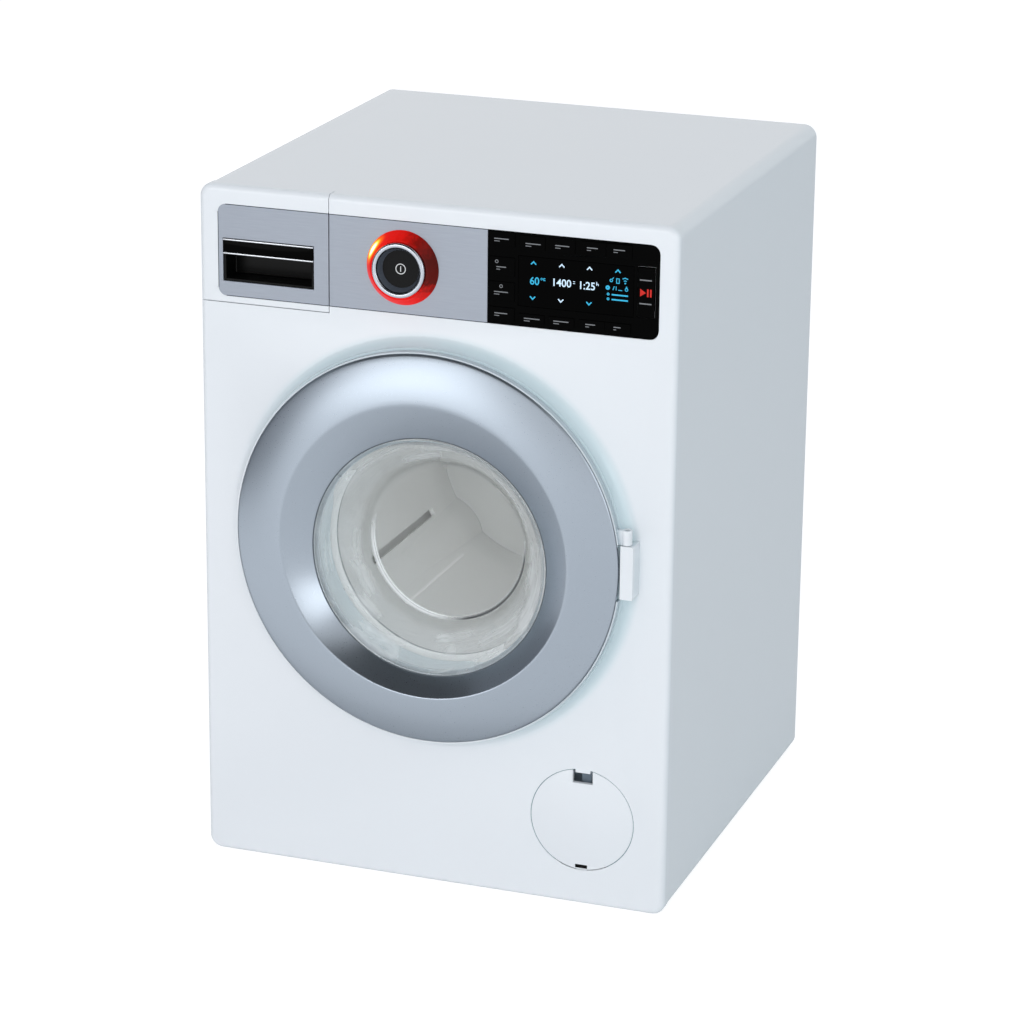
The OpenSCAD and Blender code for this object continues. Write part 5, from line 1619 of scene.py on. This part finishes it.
@dataclass
class Studio:
    """Pale floor, even sky, soft lamps and the camera."""

    lens: float = 131.477
    eye: tuple[float, float, float] = (0.45751, -1.28865, 0.57137)
    look: tuple[float, float, float] = (-0.317344, 0.894984, -0.313523)
    roll: float = 0.614
    middle: tuple[float, float, float] = (0.0, 0.0, 0.13)
    floor_r: float = 6.0

    def build(self) -> None:
        """Sets the stage."""
        self.camera()
        self.sky()
        self.floor()
        self.lamps()
        bpy.context.scene.view_settings.view_transform = "Standard"

    def camera(self) -> None:
        """A long lens, turned a little about its axis."""
        lens = bpy.data.cameras.new("camera")
        lens.lens, lens.sensor_width = self.lens, 36.0
        lens.clip_start, lens.clip_end = 0.05, 20.0
        camera = placed("camera", lens)
        turn = Vector(self.look).to_track_quat("-Z", "Y").to_matrix()
        turn = turn @ Matrix.Rotation(math.radians(self.roll), 3, "Z")
        camera.matrix_world = Matrix.Translation(self.eye) @ turn.to_4x4()
        bpy.context.scene.camera = camera

    def sky(self) -> None:
        """A soft even sky, plain white where it is seen or mirrored."""
        world = bpy.data.worlds.new("studio")
        bpy.context.scene.world = world
        graph = Graph(world)
        ray = graph.add("LightPath").outputs
        shown = graph.most(graph.most(ray["Is Camera Ray"], ray["Is Transmission Ray"]), ray["Is Glossy Ray"])
        way = graph.get("Generated", "TexCoord")
        colour = graph.mix(graph.step(graph.axis("X", way), 0.0, 0.8), linear("f3f5fb"), linear("d3e6ee"))
        level = graph.step(graph.axis("Z", way), 0.2, 0.9, 0.63, 0.72)
        light = graph.get(0, "Background", {"Color": colour, "Strength": level})
        white = graph.get(0, "Background", {"Color": WHITE_LIGHT})
        graph.add("OutputWorld", {"Surface": graph.blend(shown, light, white)})

    def sheet(self, name: str, paint: str, corners: np.ndarray) -> tuple[Piece, Graph]:
        """A four-cornered sheet with a material that is still empty.

        Args:
            name: the sheet's name.
            paint: the material's name.
            corners: its corners, in metres.

        Returns:
            The sheet and its material's graph.
        """
        mesh = bpy.data.meshes.new(name)
        mesh.from_pydata(corners, [], [(0, 1, 2, 3)])
        mesh.materials.append(bpy.data.materials.new(paint))
        return placed(name, mesh), Graph(mesh.materials[0])

    def floor(self) -> None:
        """A pale floor that goes white away from the object and keeps its shadow; in mirrors it darkens near
        the object as painted shade, and a little towards the right.
        """
        corners = np.array([(-1, -1, 0), (1, -1, 0), (1, 1, 0), (-1, 1, 0)]) * self.floor_r
        floor, graph = self.sheet("studio_floor", "floor paint", corners)
        ray = graph.add("LightPath").outputs
        seen = graph.most(ray["Is Camera Ray"], ray["Is Glossy Ray"])
        paint = graph.matt(linear("e8e9eb"))
        bare = graph.get(0, "AddShader", {0: paint, 1: graph.glow(WHITE_LIGHT, 0.1)})
        spot = graph.get("Position", "NewGeometry")
        # Painted shade for mirrors: darker near the object and a little darker to the right
        near = graph.step(graph.axis("Y", spot), -0.19, -0.13, 0.98, 0.4)
        beside = graph.step(graph.axis("X", spot), -0.3, 0.0, 1.0, 0.84)
        level = graph.most(graph.times(ray["Is Camera Ray"], 0.8), graph.times(near, beside))
        paint = graph.matt(linear("a8a9ab"))
        shown = graph.get(0, "AddShader", {0: paint, 1: graph.glow(WHITE_LIGHT, level)})
        graph.add("OutputMaterial", {"Surface": graph.blend(seen, bare, shown)})

    def lamps(self) -> None:
        """One wide lamp in front, two lights that only metal mirrors, and two dark flags."""
        for name, place, size, power, lit in (
            ("front lamp", (0.45, -2.05, 0.6), 1.8, 21.0, True),
            ("crown softbox", (-0.9, -2.1, 0.55), 1.05, 8.8, False),
            ("side strip", (0.94, -0.73, 0.40), 0.45, 1.5, False),
        ):
            light = bpy.data.lights.new(name, "AREA")
            light.size, light.energy = size, power
            lamp = placed(name, light)
            lamp.location = place
            lamp.rotation_euler = (Vector(self.middle) - Vector(place)).to_track_quat("-Z", "Y").to_euler()
            lamp.visible_diffuse = lamp.visible_transmission = lit
            lamp.visible_glossy, lamp.visible_camera = not lit, False
        self.flag("top flag", (-0.22, -0.55, 1.2), 2.2, 2.3, "161618")
        self.flag("left flag", (-0.5, -0.06, 0.3), 0.46, 1.3, "7c7f85")

    def flag(self, name: str, place: tuple, width: float, height: float, colour: str) -> None:
        """A dark cloth that only mirrors see, square to the toy.

        Its corners are place +- width/2 along u +- height/2 along v, with u
        and v square to the line from place to the toy's middle.

        Args:
            name: the flag's name.
            place: its centre, in metres.
            width: its width, in metres.
            height: its height, in metres.
            colour: sRGB hex of the cloth.
        """
        line = np.array(self.middle) - place
        line /= np.linalg.norm(line)
        u = np.cross(line, [0.0, 1.0, 0.2])
        u /= np.linalg.norm(u)
        v = np.cross(line, u)
        signs = np.array([(-1, -1), (1, -1), (1, 1), (-1, 1)]) / 2
        corners = place + signs[:, :1] * u * width + signs[:, 1:] * v * height
        flag, graph = self.sheet(name.replace(" ", "_"), name + " cloth", corners)
        graph.add("OutputMaterial", {"Surface": graph.glow(linear(colour))})
        flag.visible_camera = flag.visible_diffuse = flag.visible_transmission = flag.visible_shadow = False


def main() -> None:
    logging.basicConfig(level=logging.INFO, format="%(message)s")
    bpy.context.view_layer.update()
    toy = (Housing(), Drawer(), Dial(), Display(), Door(), DrumUnit(), FilterFlap(), HiddenWorks())
    for part in (*toy, Studio()):
        log.info("building %s", type(part).__name__)
        part.build()


if __name__ == "__main__":
    main()
